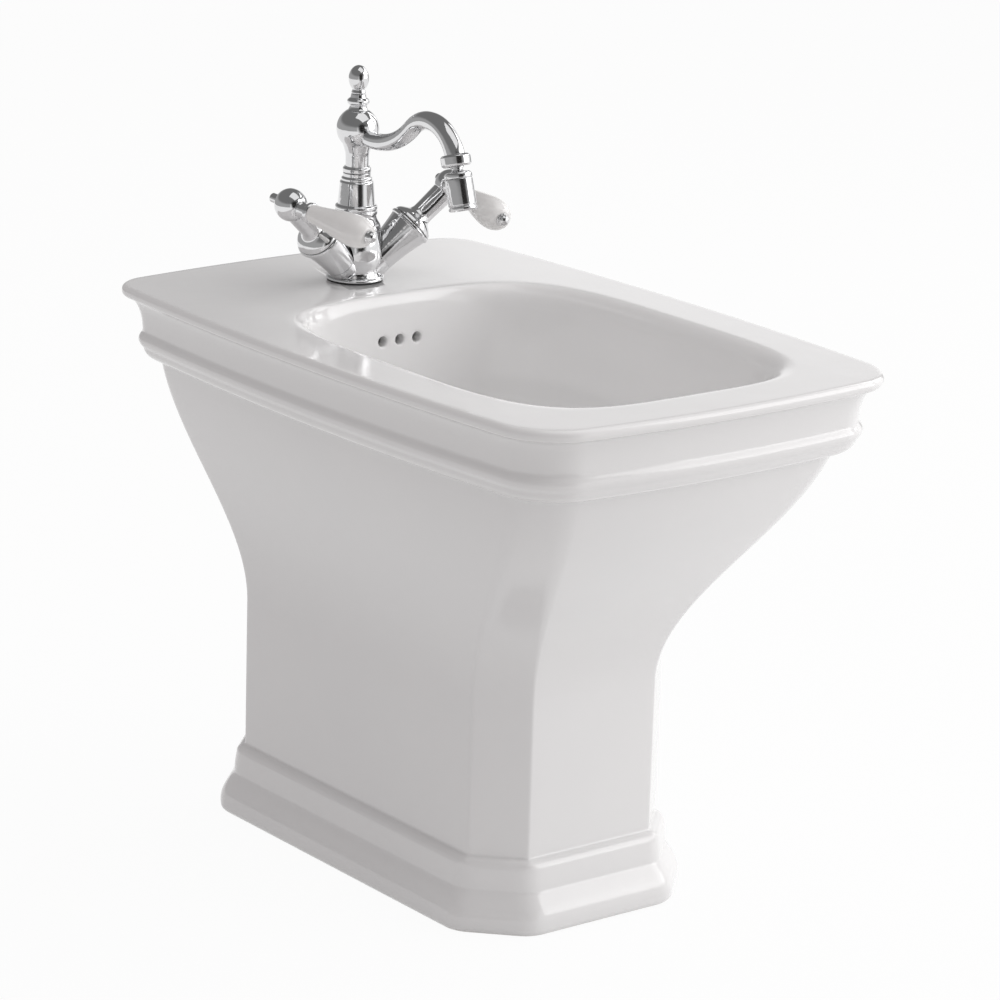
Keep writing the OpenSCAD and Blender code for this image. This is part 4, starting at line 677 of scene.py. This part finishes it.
def make_column():
    flare_r, ring_foot, ring_h, cone_top = BELLY_R - 2, BODY_H + 12, 7, COLUMN_TOP_H - 7
    r = COLUMN_RING_R
    column = [(0, BODY_H), (flare_r, BODY_H), (flare_r, BODY_H + 1.5)]
    column += [(lerp(flare_r, r - 0.9, smooth(t)), lerp(BODY_H + 2, ring_foot - 1, t))
               for t in (0.25, 0.5, 0.75, 1)]
    column += [
        (r - 0.3, ring_foot), (r, ring_foot + 0.8), (r, ring_foot + 2.6), (r - 0.7, ring_foot + 3),
        (r - 0.7, ring_foot + 3.8), (r, ring_foot + 4.2), (r, ring_foot + ring_h - 0.8),
        (r - 0.6, ring_foot + ring_h), (r - 1.9, ring_foot + ring_h + 0.6),
        (COLUMN_TOP_R + 2.3, cone_top), (COLUMN_TOP_R + 1.2, cone_top + 1),
        (COLUMN_TOP_R + 1.2, cone_top + 3), (COLUMN_TOP_R, cone_top + 4),
        (COLUMN_TOP_R, COLUMN_TOP_H), (0, COLUMN_TOP_H)]
    spigot_foot = at_tap(COLUMN_TOP_H - SPIGOT_L - 2 * FACE_GAP)
    fine("column", [turned(column, at_tap())], [
        cylinder(WATERWAY_R + 1, COLUMN_TOP_H, at_tap(BODY_H - CUT)),
        cylinder(SPIGOT_R + RUN_GAP, SPIGOT_L + CUT, spigot_foot),
        bonnet_room(-1), bonnet_room(1)])
    bore, h = NECK_R + RUN_GAP, SWIVEL_NUT_H
    fine("swivel_nut", [turned_ring([
        (bore, 0), (SWIVEL_NUT_R - 0.8, 0), (SWIVEL_NUT_R, 0.8), (SWIVEL_NUT_R, h - 1.4),
        (SWIVEL_NUT_R - 1.2, h - 0.4), (NECK_R + 0.8, h), (bore, h)], at_tap(COLUMN_TOP_H))])


def make_spout():
    fillet = 3.5
    spigot_foot = COLUMN_TOP_H - SPIGOT_L
    crown_angle = np.degrees(np.arccos(CROWN_R / BALL_R))
    join_angle = -np.degrees(np.arccos((NECK_R + 2.4) / BALL_R))
    crown_h = BALL_H + BALL_R * sin(crown_angle)
    neck = [
        (0, spigot_foot), (SPIGOT_R, spigot_foot), (SPIGOT_R, COLUMN_TOP_H + FACE_GAP),
        (NECK_R, COLUMN_TOP_H + FACE_GAP), (NECK_R, BALL_H - BALL_R - fillet),
        (NECK_R + 0.7, BALL_H - BALL_R - 0.6)]
    neck += ball_arc(BALL_R, BALL_H, join_angle, crown_angle, 24) + [(0, crown_h)]
    edge = 1.5
    collar = [
        (0, 0), (COLLAR_R - edge, 0), (COLLAR_R, edge), (COLLAR_R, COLLAR_T - edge),
        (COLLAR_R - edge, COLLAR_T), (0, COLLAR_T)]
    groove_r, groove_w = SPIGOT_R - 1.5, 2.8
    groove_h = COLUMN_TOP_H - SPIGOT_L - FACE_GAP + 6 - 1.4
    groove = turned_ring([
        (groove_r, 0), (SPIGOT_R + CUT, 0), (SPIGOT_R + CUT, groove_w), (groove_r, groove_w)],
        at_tap(groove_h))
    neck_bore = cylinder(
        WATERWAY_R + 1, BALL_H - spigot_foot + CUT + 2, at_tap(spigot_foot - CUT))
    rod_bore = cylinder(ROD_R + RUN_GAP, BALL_R + CUT, at_tap(BALL_H))
    waterway = swept(WATERWAY_R, WATERWAY_R, COLLAR_T, HOLE_N)
    fine("spout", [
        turned(neck, at_tap()), swept(TUBE_R1, TUBE_R2), turned(collar, at_outlet(-COLLAR_T / 2))],
        [neck_bore, rod_bore, waterway, groove])
    make_finial(crown_h)


def make_finial(crown_h):
    """The nut on top of the spout and the knob of the waste above it."""
    rim_r, rim_h, foot = CROWN_R + 0.6, crown_h + 3.5, KNOB_TOP_H - KNOB_L
    bore = ROD_R + RUN_GAP
    fine("spout_top_nut", [turned_ring([
        (bore, crown_h), (CROWN_R, crown_h), (CROWN_R - 1.2, crown_h + 1.8), (CROWN_R - 1.4, rim_h),
        (rim_r - 0.8, rim_h + 1.2), (rim_r, rim_h + 2.2), (rim_r, rim_h + 4),
        (rim_r - 0.8, rim_h + 5), (CROWN_R - 1.8, rim_h + 6), (CROWN_R - 2.4, foot - FACE_GAP),
        (bore, foot - FACE_GAP)], at_tap())])
    half = (KNOB_L - 1.2) / 2
    middle = KNOB_TOP_H - half
    egg = [(KNOB_R * cos(t), middle + half * sin(t)) for t in np.linspace(-54, 88, 30)]
    knob = [(0, foot), (KNOB_R - 2.6, foot), (KNOB_R - 2.3, foot + 0.8)] + egg + [(0, KNOB_TOP_H)]
    rod_socket = cylinder(bore, middle - foot + CUT, at_tap(foot - CUT))
    fine("lift_knob", [turned(knob, at_tap())], [rod_socket])


def handle_profile(t):
    """Radius of the porcelain handle at the share t of its length."""
    if t < HANDLE_FULLEST:
        u = t / HANDLE_FULLEST
        return lerp(HANDLE_ROOT_R, HANDLE_R, smooth(u) * 0.6 + u * 0.4)
    end_r = TIP_R + 0.6
    past = (t - HANDLE_FULLEST) / (1 - HANDLE_FULLEST)
    return end_r + (HANDLE_R - end_r) * np.sqrt(max(0, 1 - past ** 2.2))


def make_valve(side, name):
    """A valve's bonnet and the skirt of its lever."""
    bell = [(lerp(BONNET_ROOT_R, BONNET_RIM_R - 1.2, t * t * 0.55 + t * 0.45),
             lerp(BONNET_ROOT, BONNET_RIM - 3.5, t)) for t in np.linspace(0, 1, 9)]
    room = CARTRIDGE_R + 2.6
    inside = [(max(r - BONNET_SHELL, room), h) for r, h in bell[:0:-1]]
    seat = CARTRIDGE_R + FIT_GAP
    fine(name + "_valve_bonnet", [turned_ring(
        [(seat, BONNET_ROOT)] + bell
        + [(BONNET_RIM_R, BONNET_RIM - 2.6), (BONNET_RIM_R, BONNET_RIM - 1),
           (BONNET_RIM_R - 0.8, BONNET_RIM), (BONNET_RIM_R - 2.4, BONNET_RIM),
           (BONNET_RIM_R - 2.8, BONNET_RIM - 3.5)]
        + inside + [(room, BONNET_ROOT + 2), (seat, BONNET_ROOT + 2)], at_valve(side))])

    dome_r, dome_foot = BONNET_RIM_R - 1, BONNET_RIM + 0.5
    neck, bore = dome_r - 8.8, SPINDLE_R + RUN_GAP
    low, high = -np.degrees(np.arccos((neck + 0.7) / HUB_R)), -np.degrees(np.arccos(bore / HUB_R))
    cup = ball_arc(HUB_R, HUB_S, low, high, 8)
    fine(name + "_lever_skirt", [turned_ring(
        [(bore, dome_foot), (dome_r, dome_foot), (dome_r, dome_foot + 1),
         (dome_r - 1.2, dome_foot + 3.2), (dome_r - 4, dome_foot + 5.8),
         (dome_r - 7, dome_foot + 7.6), (neck + 0.2, dome_foot + 10), (neck, dome_foot + 14)]
        + cup, at_valve(side))])


def make_lever(side, name):
    """A lever's hub, screw, ferrule, handle and tip."""
    ferrule_s, handle_s, tip_s = HUB_R - 1.5, 24.0, LEVER_L - 6.5
    screw_rod_r = LEVER_ROD_R - 0.5
    flat = np.degrees(np.arcsin(ferrule_s / HUB_R))
    hub = [(0, -ferrule_s)] + ball_arc(HUB_R, 0, -flat, flat, 40) + [(0, ferrule_s)]
    fine(name + "_lever_hub", [turned(hub, along_lever(side))], [
        cylinder(SPINDLE_R + RUN_GAP, HUB_S - 4, at_valve(side)),
        cylinder(LEVER_ROD_R + RUN_GAP, HUB_R, along_lever(side, HUB_R - 6)),
        cylinder(screw_rod_r + RUN_GAP, CUT + 8, along_lever(side, -HUB_R - CUT))])

    root, rod, rod_end = HANDLE_ROOT_R, LEVER_ROD_R, tip_s + 3.5
    fine(name + "_lever_ferrule", [turned([
        (0, HUB_R - 5.8), (rod, HUB_R - 5.8), (rod, ferrule_s), (root - 1, ferrule_s),
        (root - 0.6, ferrule_s + 1.2), (root - 1.8, ferrule_s + 3.2), (root - 1.6, handle_s - 5.4),
        (root + 0.8, handle_s - 3.6), (root + 1, handle_s - 1), (root + 0.2, handle_s),
        (rod, handle_s), (rod, rod_end), (0, rod_end)], along_lever(side))])
    rise = list(np.linspace(0, 0.7, 15))
    fall = list(1 - 0.28 * (1 - np.sin(np.linspace(0.1, 1, 16) * np.pi / 2)))
    bore = LEVER_ROD_R + FIT_GAP
    fine(name + "_lever_handle", [turned_ring(
        [(bore, handle_s)]
        + [(handle_profile(t), lerp(handle_s, tip_s, t)) for t in rise + fall]
        + [(bore, tip_s)], along_lever(side))])
    fine(name + "_lever_tip", [turned([
        (0, 0), (TIP_R + 0.5, 0), (TIP_R + 0.5, 1), (TIP_R, 1.8), (TIP_R, 3.4),
        (TIP_R - 0.6, 4.8), (TIP_R - 2, 6), (0, LEVER_L - tip_s)], along_lever(side, tip_s))], [
        cylinder(LEVER_ROD_R + RUN_GAP, CUT + 3.6, along_lever(side, tip_s - CUT))])
    head_s = ferrule_s + 10.0
    fine(name + "_lever_screw", [turned([
        (0, HUB_R - 7.6), (screw_rod_r, HUB_R - 7.6), (screw_rod_r, ferrule_s),
        (LEVER_SCREW_R, ferrule_s), (LEVER_SCREW_R, head_s - 1.2),
        (LEVER_SCREW_R - 1.2, head_s), (0, head_s)], along_lever(side) @ spin(180, "X"))])


def make_nozzle():
    joint_s, ball_foot = COLLAR_T / 2 + JOINT_DROP, COLLAR_T / 2
    stem = JOINT_R - 3.5
    start = -np.degrees(np.arccos(stem / JOINT_R))
    ball = [(0, ball_foot), (stem + 1.5, ball_foot), (stem + 1.5, ball_foot + 1),
            (stem, ball_foot + 1)]
    ball += ball_arc(JOINT_R, joint_s, start, 84, 24) + [(0, joint_s + JOINT_R)]
    fine("outlet_ball", [turned(ball, at_outlet())], [
        cylinder(stem - 1.4, 2 * joint_s, at_outlet(ball_foot - CUT))])
    socket = JOINT_R + RUN_GAP + SEAT_T + RUN_GAP
    r = NOZZLE_R
    low = -np.degrees(np.arcsin(NOZZLE_TOP / socket))
    fine("nozzle_collar", [turned_ring(
        [(r - 1.6, -NOZZLE_TOP), (r - 0.5, 1 - NOZZLE_TOP), (r, 2 - NOZZLE_TOP), (r, -0.6),
         (r - 0.4, 0)] + ball_arc(socket, 0, -0.5, low, 8), at_outlet(joint_s))])
    bore, chamber, chamber_foot = JOINT_R - 2.5, NOZZLE_R - 1.8, NOZZLE_L - 6.5 - 1
    high = np.degrees(np.arccos(bore / socket))
    fine("nozzle_body", [turned_ring(
        [(r - 0.4, 0), (r, 0.6), (r, NOZZLE_L - 4.2), (r - 0.7, NOZZLE_L - 3.6),
         (r - 0.7, NOZZLE_L - 3), (r + 0.2, NOZZLE_L - 2.4), (r + 0.2, NOZZLE_L - 0.8),
         (r - 0.6, NOZZLE_L), (chamber, NOZZLE_L), (chamber, chamber_foot), (bore, chamber_foot)]
        + ball_arc(socket, 0, high, 0.5, 8), at_outlet(joint_s))])


# ---- Materials ----
GLAZE, GLAZE_ROUGHNESS = ((0.845, 0.845, 0.845), (0.875, 0.873, 0.868)), (0.10, 0.16)
CLAY, CLAY_ROUGHNESS = ((0.70, 0.66, 0.60), (0.82, 0.79, 0.74)), 0.85
FOOT_RING = (0.0022, 0.0006)  # heights in metres between which the glaze gives way to bare clay


class Nodes:
    """Short way to build a material's node tree round one Principled shader."""

    def __init__(self, name):
        self.material = bpy.data.materials.new(name)
        self.material.use_nodes = True
        self.tree = self.material.node_tree
        self.shader = self.tree.nodes["Principled BSDF"]
        self.point = self.add("ShaderNodeTexCoord").outputs["Object"]

    def add(self, kind, **values):
        """New node with its sockets, or else its settings, at the values."""
        node = self.tree.nodes.new(kind)
        for key, value in values.items():
            if key in node.inputs:
                node.inputs[key].default_value = value
            else:
                setattr(node, key, value)
        return node

    def join(self, a, b):
        self.tree.links.new(a, b)

    def show(self, shader):
        self.join(shader.outputs[0], self.tree.nodes["Material Output"].inputs["Surface"])

    def set(self, **values):
        """Sets the shader's sockets, named with _ for their spaces."""
        for key, value in values.items():
            self.shader.inputs[key.replace("_", " ")].default_value = value

    def noise(self, scale, detail=2.0, stretch=None):
        node = self.add("ShaderNodeTexNoise", Scale=scale, Detail=detail)
        source = self.point
        if stretch:
            mapping = self.add("ShaderNodeMapping", Scale=stretch)
            self.join(source, mapping.inputs["Vector"])
            source = mapping.outputs["Vector"]
        self.join(source, node.inputs["Vector"])
        return node.outputs["Fac"]

    def ramp(self, value, start, stop, low=0.0, high=1.0, kind="LINEAR"):
        """The value, from start to stop, mapped to low to high."""
        node = self.add("ShaderNodeMapRange", interpolation_type=kind)
        limits = {"From Min": start, "From Max": stop, "To Min": low, "To Max": high}
        for key, number in limits.items():
            node.inputs[key].default_value = number
        self.join(value, node.inputs["Value"])
        return node.outputs["Result"]

    def spread(self, value, low, high):
        return self.ramp(value, 0.0, 1.0, low, high)

    def blend(self, factor, color_a, color_b):
        """Mix of two colours, each a tuple or a socket."""
        node = self.add("ShaderNodeMix", data_type="RGBA")
        self.join(factor, node.inputs[0])
        for index, color in ((6, color_a), (7, color_b)):
            if isinstance(color, tuple):
                node.inputs[index].default_value = (*color, 1)
            else:
                self.join(color, node.inputs[index])
        return node.outputs[2]

    def bump(self, height, strength, distance):
        node = self.add("ShaderNodeBump", Strength=strength, Distance=distance)
        self.join(height, node.inputs["Height"])
        self.join(node.outputs["Normal"], self.shader.inputs["Normal"])


def glaze_material():
    """White gloss glaze, bare and rough on the ring that the piece was fired on."""
    m = Nodes("glaze")
    glaze = m.blend(m.noise(9.0), *GLAZE)
    split = m.add("ShaderNodeSeparateXYZ")
    m.join(m.point, split.inputs[0])
    bare = m.ramp(split.outputs["Z"], *FOOT_RING)
    clay = m.blend(m.noise(900.0, 4.0), *CLAY)
    m.join(m.blend(bare, glaze, clay), m.shader.inputs["Base Color"])
    rough = m.add("ShaderNodeMath", operation="MAXIMUM")
    m.join(m.spread(m.noise(35.0, 3.0), *GLAZE_ROUGHNESS), rough.inputs[0])
    m.join(m.spread(bare, 0.0, CLAY_ROUGHNESS), rough.inputs[1])
    m.join(rough.outputs[0], m.shader.inputs["Roughness"])
    m.set(Coat_Weight=0.35, Coat_Roughness=0.06, IOR=1.5)
    m.bump(m.noise(26.0, 2.0), 0.25, 0.0009)
    return m.material


def varied_material(name, tone, rough, bump, stretch=None, **shader):
    """Material whose colour, roughness and bump vary with noise.

    tone is its noise's scale and detail and the two colours, rough its noise's scale and detail
    and the two roughnesses, and bump its noise's scale and detail, strength and distance in metres.
    """
    m = Nodes(name)
    m.join(m.blend(m.noise(*tone[:2], stretch), *tone[2:]), m.shader.inputs["Base Color"])
    m.join(m.spread(m.noise(*rough[:2], stretch), *rough[2:]), m.shader.inputs["Roughness"])
    m.set(**shader)
    m.bump(m.noise(*bump[:2], stretch), *bump[2:])
    return m.material


MATERIALS = {
    "glazed_ceramic": glaze_material(),
    "porcelain": varied_material(
        "porcelain", (120.0, 2.0, (0.86, 0.855, 0.84), (0.90, 0.895, 0.885)),
        (300.0, 2.0, 0.08, 0.14), (180.0, 2.0, 0.15, 0.0004), Coat_Weight=0.5, Coat_Roughness=0.04),
    "chrome": varied_material(
        "chrome", (60.0, 2.0, (0.72, 0.72, 0.73), (0.78, 0.78, 0.785)),
        (140.0, 4.0, 0.04, 0.11), (220.0, 1.0, 0.12, 0.0004), Metallic=1.0),
    "brass": varied_material(
        "brass", (80.0, 4.0, (0.62, 0.43, 0.17), (0.74, 0.55, 0.26)),
        (500.0, 3.0, 0.22, 0.38), (900.0, 3.0, 0.2, 0.0003), Metallic=1.0),
    "steel": varied_material(
        "steel", (700.0, 3.0, (0.50, 0.50, 0.51), (0.62, 0.62, 0.63)),
        (700.0, 3.0, 0.25, 0.4), (700.0, 3.0, 0.2, 0.0002), (1.0, 1.0, 0.04), Metallic=1.0),
    "rubber": varied_material(
        "rubber", (300.0, 4.0, (0.030, 0.030, 0.032), (0.055, 0.055, 0.055)),
        (800.0, 2.0, 0.55, 0.8), (1500.0, 3.0, 0.25, 0.0003)),
    "white_plastic": varied_material(
        "white_plastic", (40.0, 2.0, (0.76, 0.76, 0.74), (0.82, 0.82, 0.80)),
        (600.0, 2.0, 0.35, 0.5), (1200.0, 2.0, 0.15, 0.0002)),
}


def dress(obj, slot):
    obj.data.materials.clear()
    obj.data.materials.append(MATERIALS[slot])


def dress_cad_nodes():
    for part in record["subparts"]:
        dress(nodes[part["node"]], part["material_slot"])


# ---- Stage, in metres ----
CAMERA_AT = (-1.80194, -2.34217, 1.12776)
CAMERA_LENS, SENSOR = 147.99, 36.0
CAMERA_AZIMUTH, CAMERA_ELEVATION, CAMERA_ROLL = -37.73, 15.89, 1.74
CLIP_START, CLIP_END = 0.05, 50
LAMPS = {  # place, aim, size and power in watts
    "key": ((2.3, -1.9, 1.5), (0, 0, 0.3), 2.3, 41),
    "right": ((2.5, 0.3, 1.7), (0, 0, 0.4), 1.6, 18),
    "top": ((0.3, -0.6, 2.4), (0, 0, 0.3), 1.8, 8)}
DARK_CARDS = {  # place, width and height
    "card_front": ((-0.30, -1.25, 0.75), 1.7, 1.95),
    "card_right": ((1.25, 0.35, 0.8), 0.4, 1.95)}
CARD_AIM = (0, 0.18, 0.55)
CARD_CORE = 0.2  # share of a dark card's size, from its middle, that is fully dark
CARD_TONE, CARD_ROUGHNESS = (0.03, 0.029, 0.028, 1), 0.9
HOOD_R = 4.0
HOOD_RIGHT = (0.796, -0.605, 0.0)  # towards the right of the picture
HOOD_WALL = (-0.11, 0.02, 0.40, 1.0)  # where the wall brightens to the right, from what to what
HOOD_RISE = (0.27, 0.50)  # sine of the elevations between which the wall turns into the ceiling
HOOD_TOP = 0.19  # brightness of the ceiling
WORLD_TONE, WORLD_STRENGTH = (1.0, 0.962, 0.966, 1), 0.52  # light on things from all round
FLOOR_HALF, FLOOR_DROP = 6, 0.0002  # half the floor's side, and how far it lies under the object
FLOOR_TONE, FLOOR_ROUGHNESS = (0.8, 0.8, 0.8, 1), 0.9
FLOOR_SEEN = 0.95  # share of plain white in the floor where it is seen or mirrored


def make_camera():
    az, el, roll = np.radians([CAMERA_AZIMUTH, CAMERA_ELEVATION, CAMERA_ROLL])
    back = Vector((np.sin(az) * np.cos(el), -np.cos(az) * np.cos(el), np.sin(el)))
    right = (-back).cross(Vector((0, 0, 1))).normalized()
    up = right.cross(-back)
    rolled_right = right * np.cos(roll) + up * np.sin(roll)
    rolled_up = up * np.cos(roll) - right * np.sin(roll)
    data = bpy.data.cameras.new("camera")
    data.lens, data.sensor_width = CAMERA_LENS, SENSOR
    data.clip_start, data.clip_end = CLIP_START, CLIP_END
    camera = link("camera", data)
    facing = Matrix((rolled_right, rolled_up, back)).transposed().to_4x4()
    camera.matrix_world = Matrix.Translation(CAMERA_AT) @ facing
    bpy.context.scene.camera = camera


def aimed(at, look):
    """Matrix that stands at a place and looks at another."""
    direction = Vector(look) - Vector(at)
    return Matrix.Translation(at) @ direction.to_track_quat("-Z", "Y").to_matrix().to_4x4()


def area_light(name, at, look, size, power):
    data = bpy.data.lights.new(name, "AREA")
    data.size, data.energy = size, power
    link(name, data).matrix_world = aimed(at, look)


def square(name, half):
    """Flat square round the origin, its half side in millimetres."""
    return mesh_object(
        name, [(-half, -half, 0), (half, -half, 0), (half, half, 0), (-half, half, 0)],
        [(0, 1, 2, 3)], False)


def only_mirrored(obj):
    """Staged object that only polished surfaces show."""
    obj.visible_camera = False
    obj.visible_diffuse = False
    obj.visible_transmission = False
    obj.visible_shadow = False


def mix_shaders(tree, factor, shader_a, shader_b):
    """Node that shows the first shader where the factor is 0 and the second where it is 1."""
    mix = tree.nodes.new("ShaderNodeMixShader")
    for socket, source in zip(mix.inputs, (factor, shader_a.outputs[0], shader_b.outputs[0])):
        tree.links.new(source, socket)
    return mix


def dark_card(name, at, width, height):
    """Dark studio card with soft edges that polished metal mirrors; the camera doesn't see it."""
    card = square(name, 0.5 / MM)
    card.matrix_world = aimed(at, CARD_AIM) @ Matrix.Diagonal((width, height, 1, 1))
    m = Nodes(name)
    m.set(Base_Color=CARD_TONE, Roughness=CARD_ROUGHNESS)
    reach = m.add("ShaderNodeVectorMath", operation="LENGTH")
    m.join(m.point, reach.inputs[0])
    fade = m.ramp(reach.outputs["Value"], CARD_CORE, 0.5, kind="SMOOTHSTEP")
    m.show(mix_shaders(m.tree, fade, m.shader, m.add("ShaderNodeBsdfTransparent")))
    card.data.materials.append(m.material)
    only_mirrored(card)


def make_hood():
    """Studio's walls and ceiling as polished surfaces mirror them: white low down, grey above."""
    rows, n = 13, 48
    a = np.arange(n) * 2 * np.pi / n
    rings = [np.stack([np.cos(a) * np.cos(e), np.sin(a) * np.cos(e), np.full(n, np.sin(e))], 1)
             for e in np.radians(np.linspace(0, 89, rows))]
    points = np.concatenate(rings) * HOOD_R / MM
    hood = mesh_object("hood", points, grid_faces(rows, n, False))
    m = Nodes("hood")
    unit = m.add("ShaderNodeVectorMath", operation="NORMALIZE")
    m.join(m.point, unit.inputs[0])
    split = m.add("ShaderNodeSeparateXYZ")
    m.join(unit.outputs[0], split.inputs[0])
    to_right = m.add("ShaderNodeVectorMath", operation="DOT_PRODUCT")
    m.join(unit.outputs[0], to_right.inputs[0])
    to_right.inputs[1].default_value = HOOD_RIGHT
    wall = m.ramp(to_right.outputs["Value"], *HOOD_WALL, kind="SMOOTHSTEP")
    mix = m.add("ShaderNodeMix", data_type="FLOAT")
    m.join(m.ramp(split.outputs["Z"], *HOOD_RISE, kind="SMOOTHSTEP"), mix.inputs[0])
    m.join(wall, mix.inputs[2])
    mix.inputs[3].default_value = HOOD_TOP
    glow = m.add("ShaderNodeEmission")
    m.join(mix.outputs[0], glow.inputs["Strength"])
    m.show(glow)
    m.material.cycles.emission_sampling = "NONE"
    hood.data.materials.append(m.material)
    only_mirrored(hood)


def seen_or_mirrored(tree):
    """Socket that is 1 for what the camera, a mirror or glass shows, and 0 for light on things."""
    path = tree.nodes.new("ShaderNodeLightPath")
    seen = path.outputs["Is Camera Ray"]
    for ray in ("Is Glossy Ray", "Is Transmission Ray"):
        either = tree.nodes.new("ShaderNodeMath")
        either.operation = "MAXIMUM"
        tree.links.new(seen, either.inputs[0])
        tree.links.new(path.outputs[ray], either.inputs[1])
        seen = either.outputs[0]
    return seen


def make_world():
    """White where it is seen or mirrored, and a plain soft light for everything else."""
    world = bpy.data.worlds.new("world")
    bpy.context.scene.world = world
    world.use_nodes = True
    tree = world.node_tree
    tree.nodes.clear()
    light = tree.nodes.new("ShaderNodeBackground")
    light.inputs["Color"].default_value = WORLD_TONE
    light.inputs["Strength"].default_value = WORLD_STRENGTH
    white = tree.nodes.new("ShaderNodeBackground")
    white.inputs["Color"].default_value = (1, 1, 1, 1)
    mix = mix_shaders(tree, seen_or_mirrored(tree), light, white)
    tree.links.new(mix.outputs[0], tree.nodes.new("ShaderNodeOutputWorld").inputs[0])


def make_floor():
    """Pale floor, near white where the camera sees it, that keeps the object's soft shadow."""
    floor = square("floor", FLOOR_HALF / MM)
    floor.location.z = -FLOOR_DROP
    m = Nodes("floor")
    m.set(Base_Color=FLOOR_TONE, Roughness=FLOOR_ROUGHNESS)
    share = m.add("ShaderNodeMath", operation="MULTIPLY")
    share.inputs[1].default_value = FLOOR_SEEN
    m.join(seen_or_mirrored(m.tree), share.inputs[0])
    m.show(mix_shaders(m.tree, share.outputs[0], m.shader, m.add("ShaderNodeEmission")))
    floor.data.materials.append(m.material)


def make_stage():
    make_camera()
    make_world()
    make_floor()
    make_hood()
    for name, values in LAMPS.items():
        area_light(name, *values)
    for name, values in DARK_CARDS.items():
        dark_card(name, *values)
    bpy.context.scene.view_settings.view_transform = "Standard"


# ---- Building ----
make_stage()
dress_cad_nodes()

FINE["ceramic_body"] = make_ceramic()
make_base_and_body()
make_column()
make_spout()
for side, name in ((-1, "left"), (1, "right")):
    make_valve(side, name)
    make_lever(side, name)
make_nozzle()

bodies = record["behaviour"]["bodies"]
body_of = {node: body for body, held in bodies.items() for node in held}
slot_of = {part["node"]: part["material_slot"] for part in record["subparts"]}
for name, piece in FINE.items():
    dress(piece, slot_of[name])
    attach(piece, body_of[name])
    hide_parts(name)
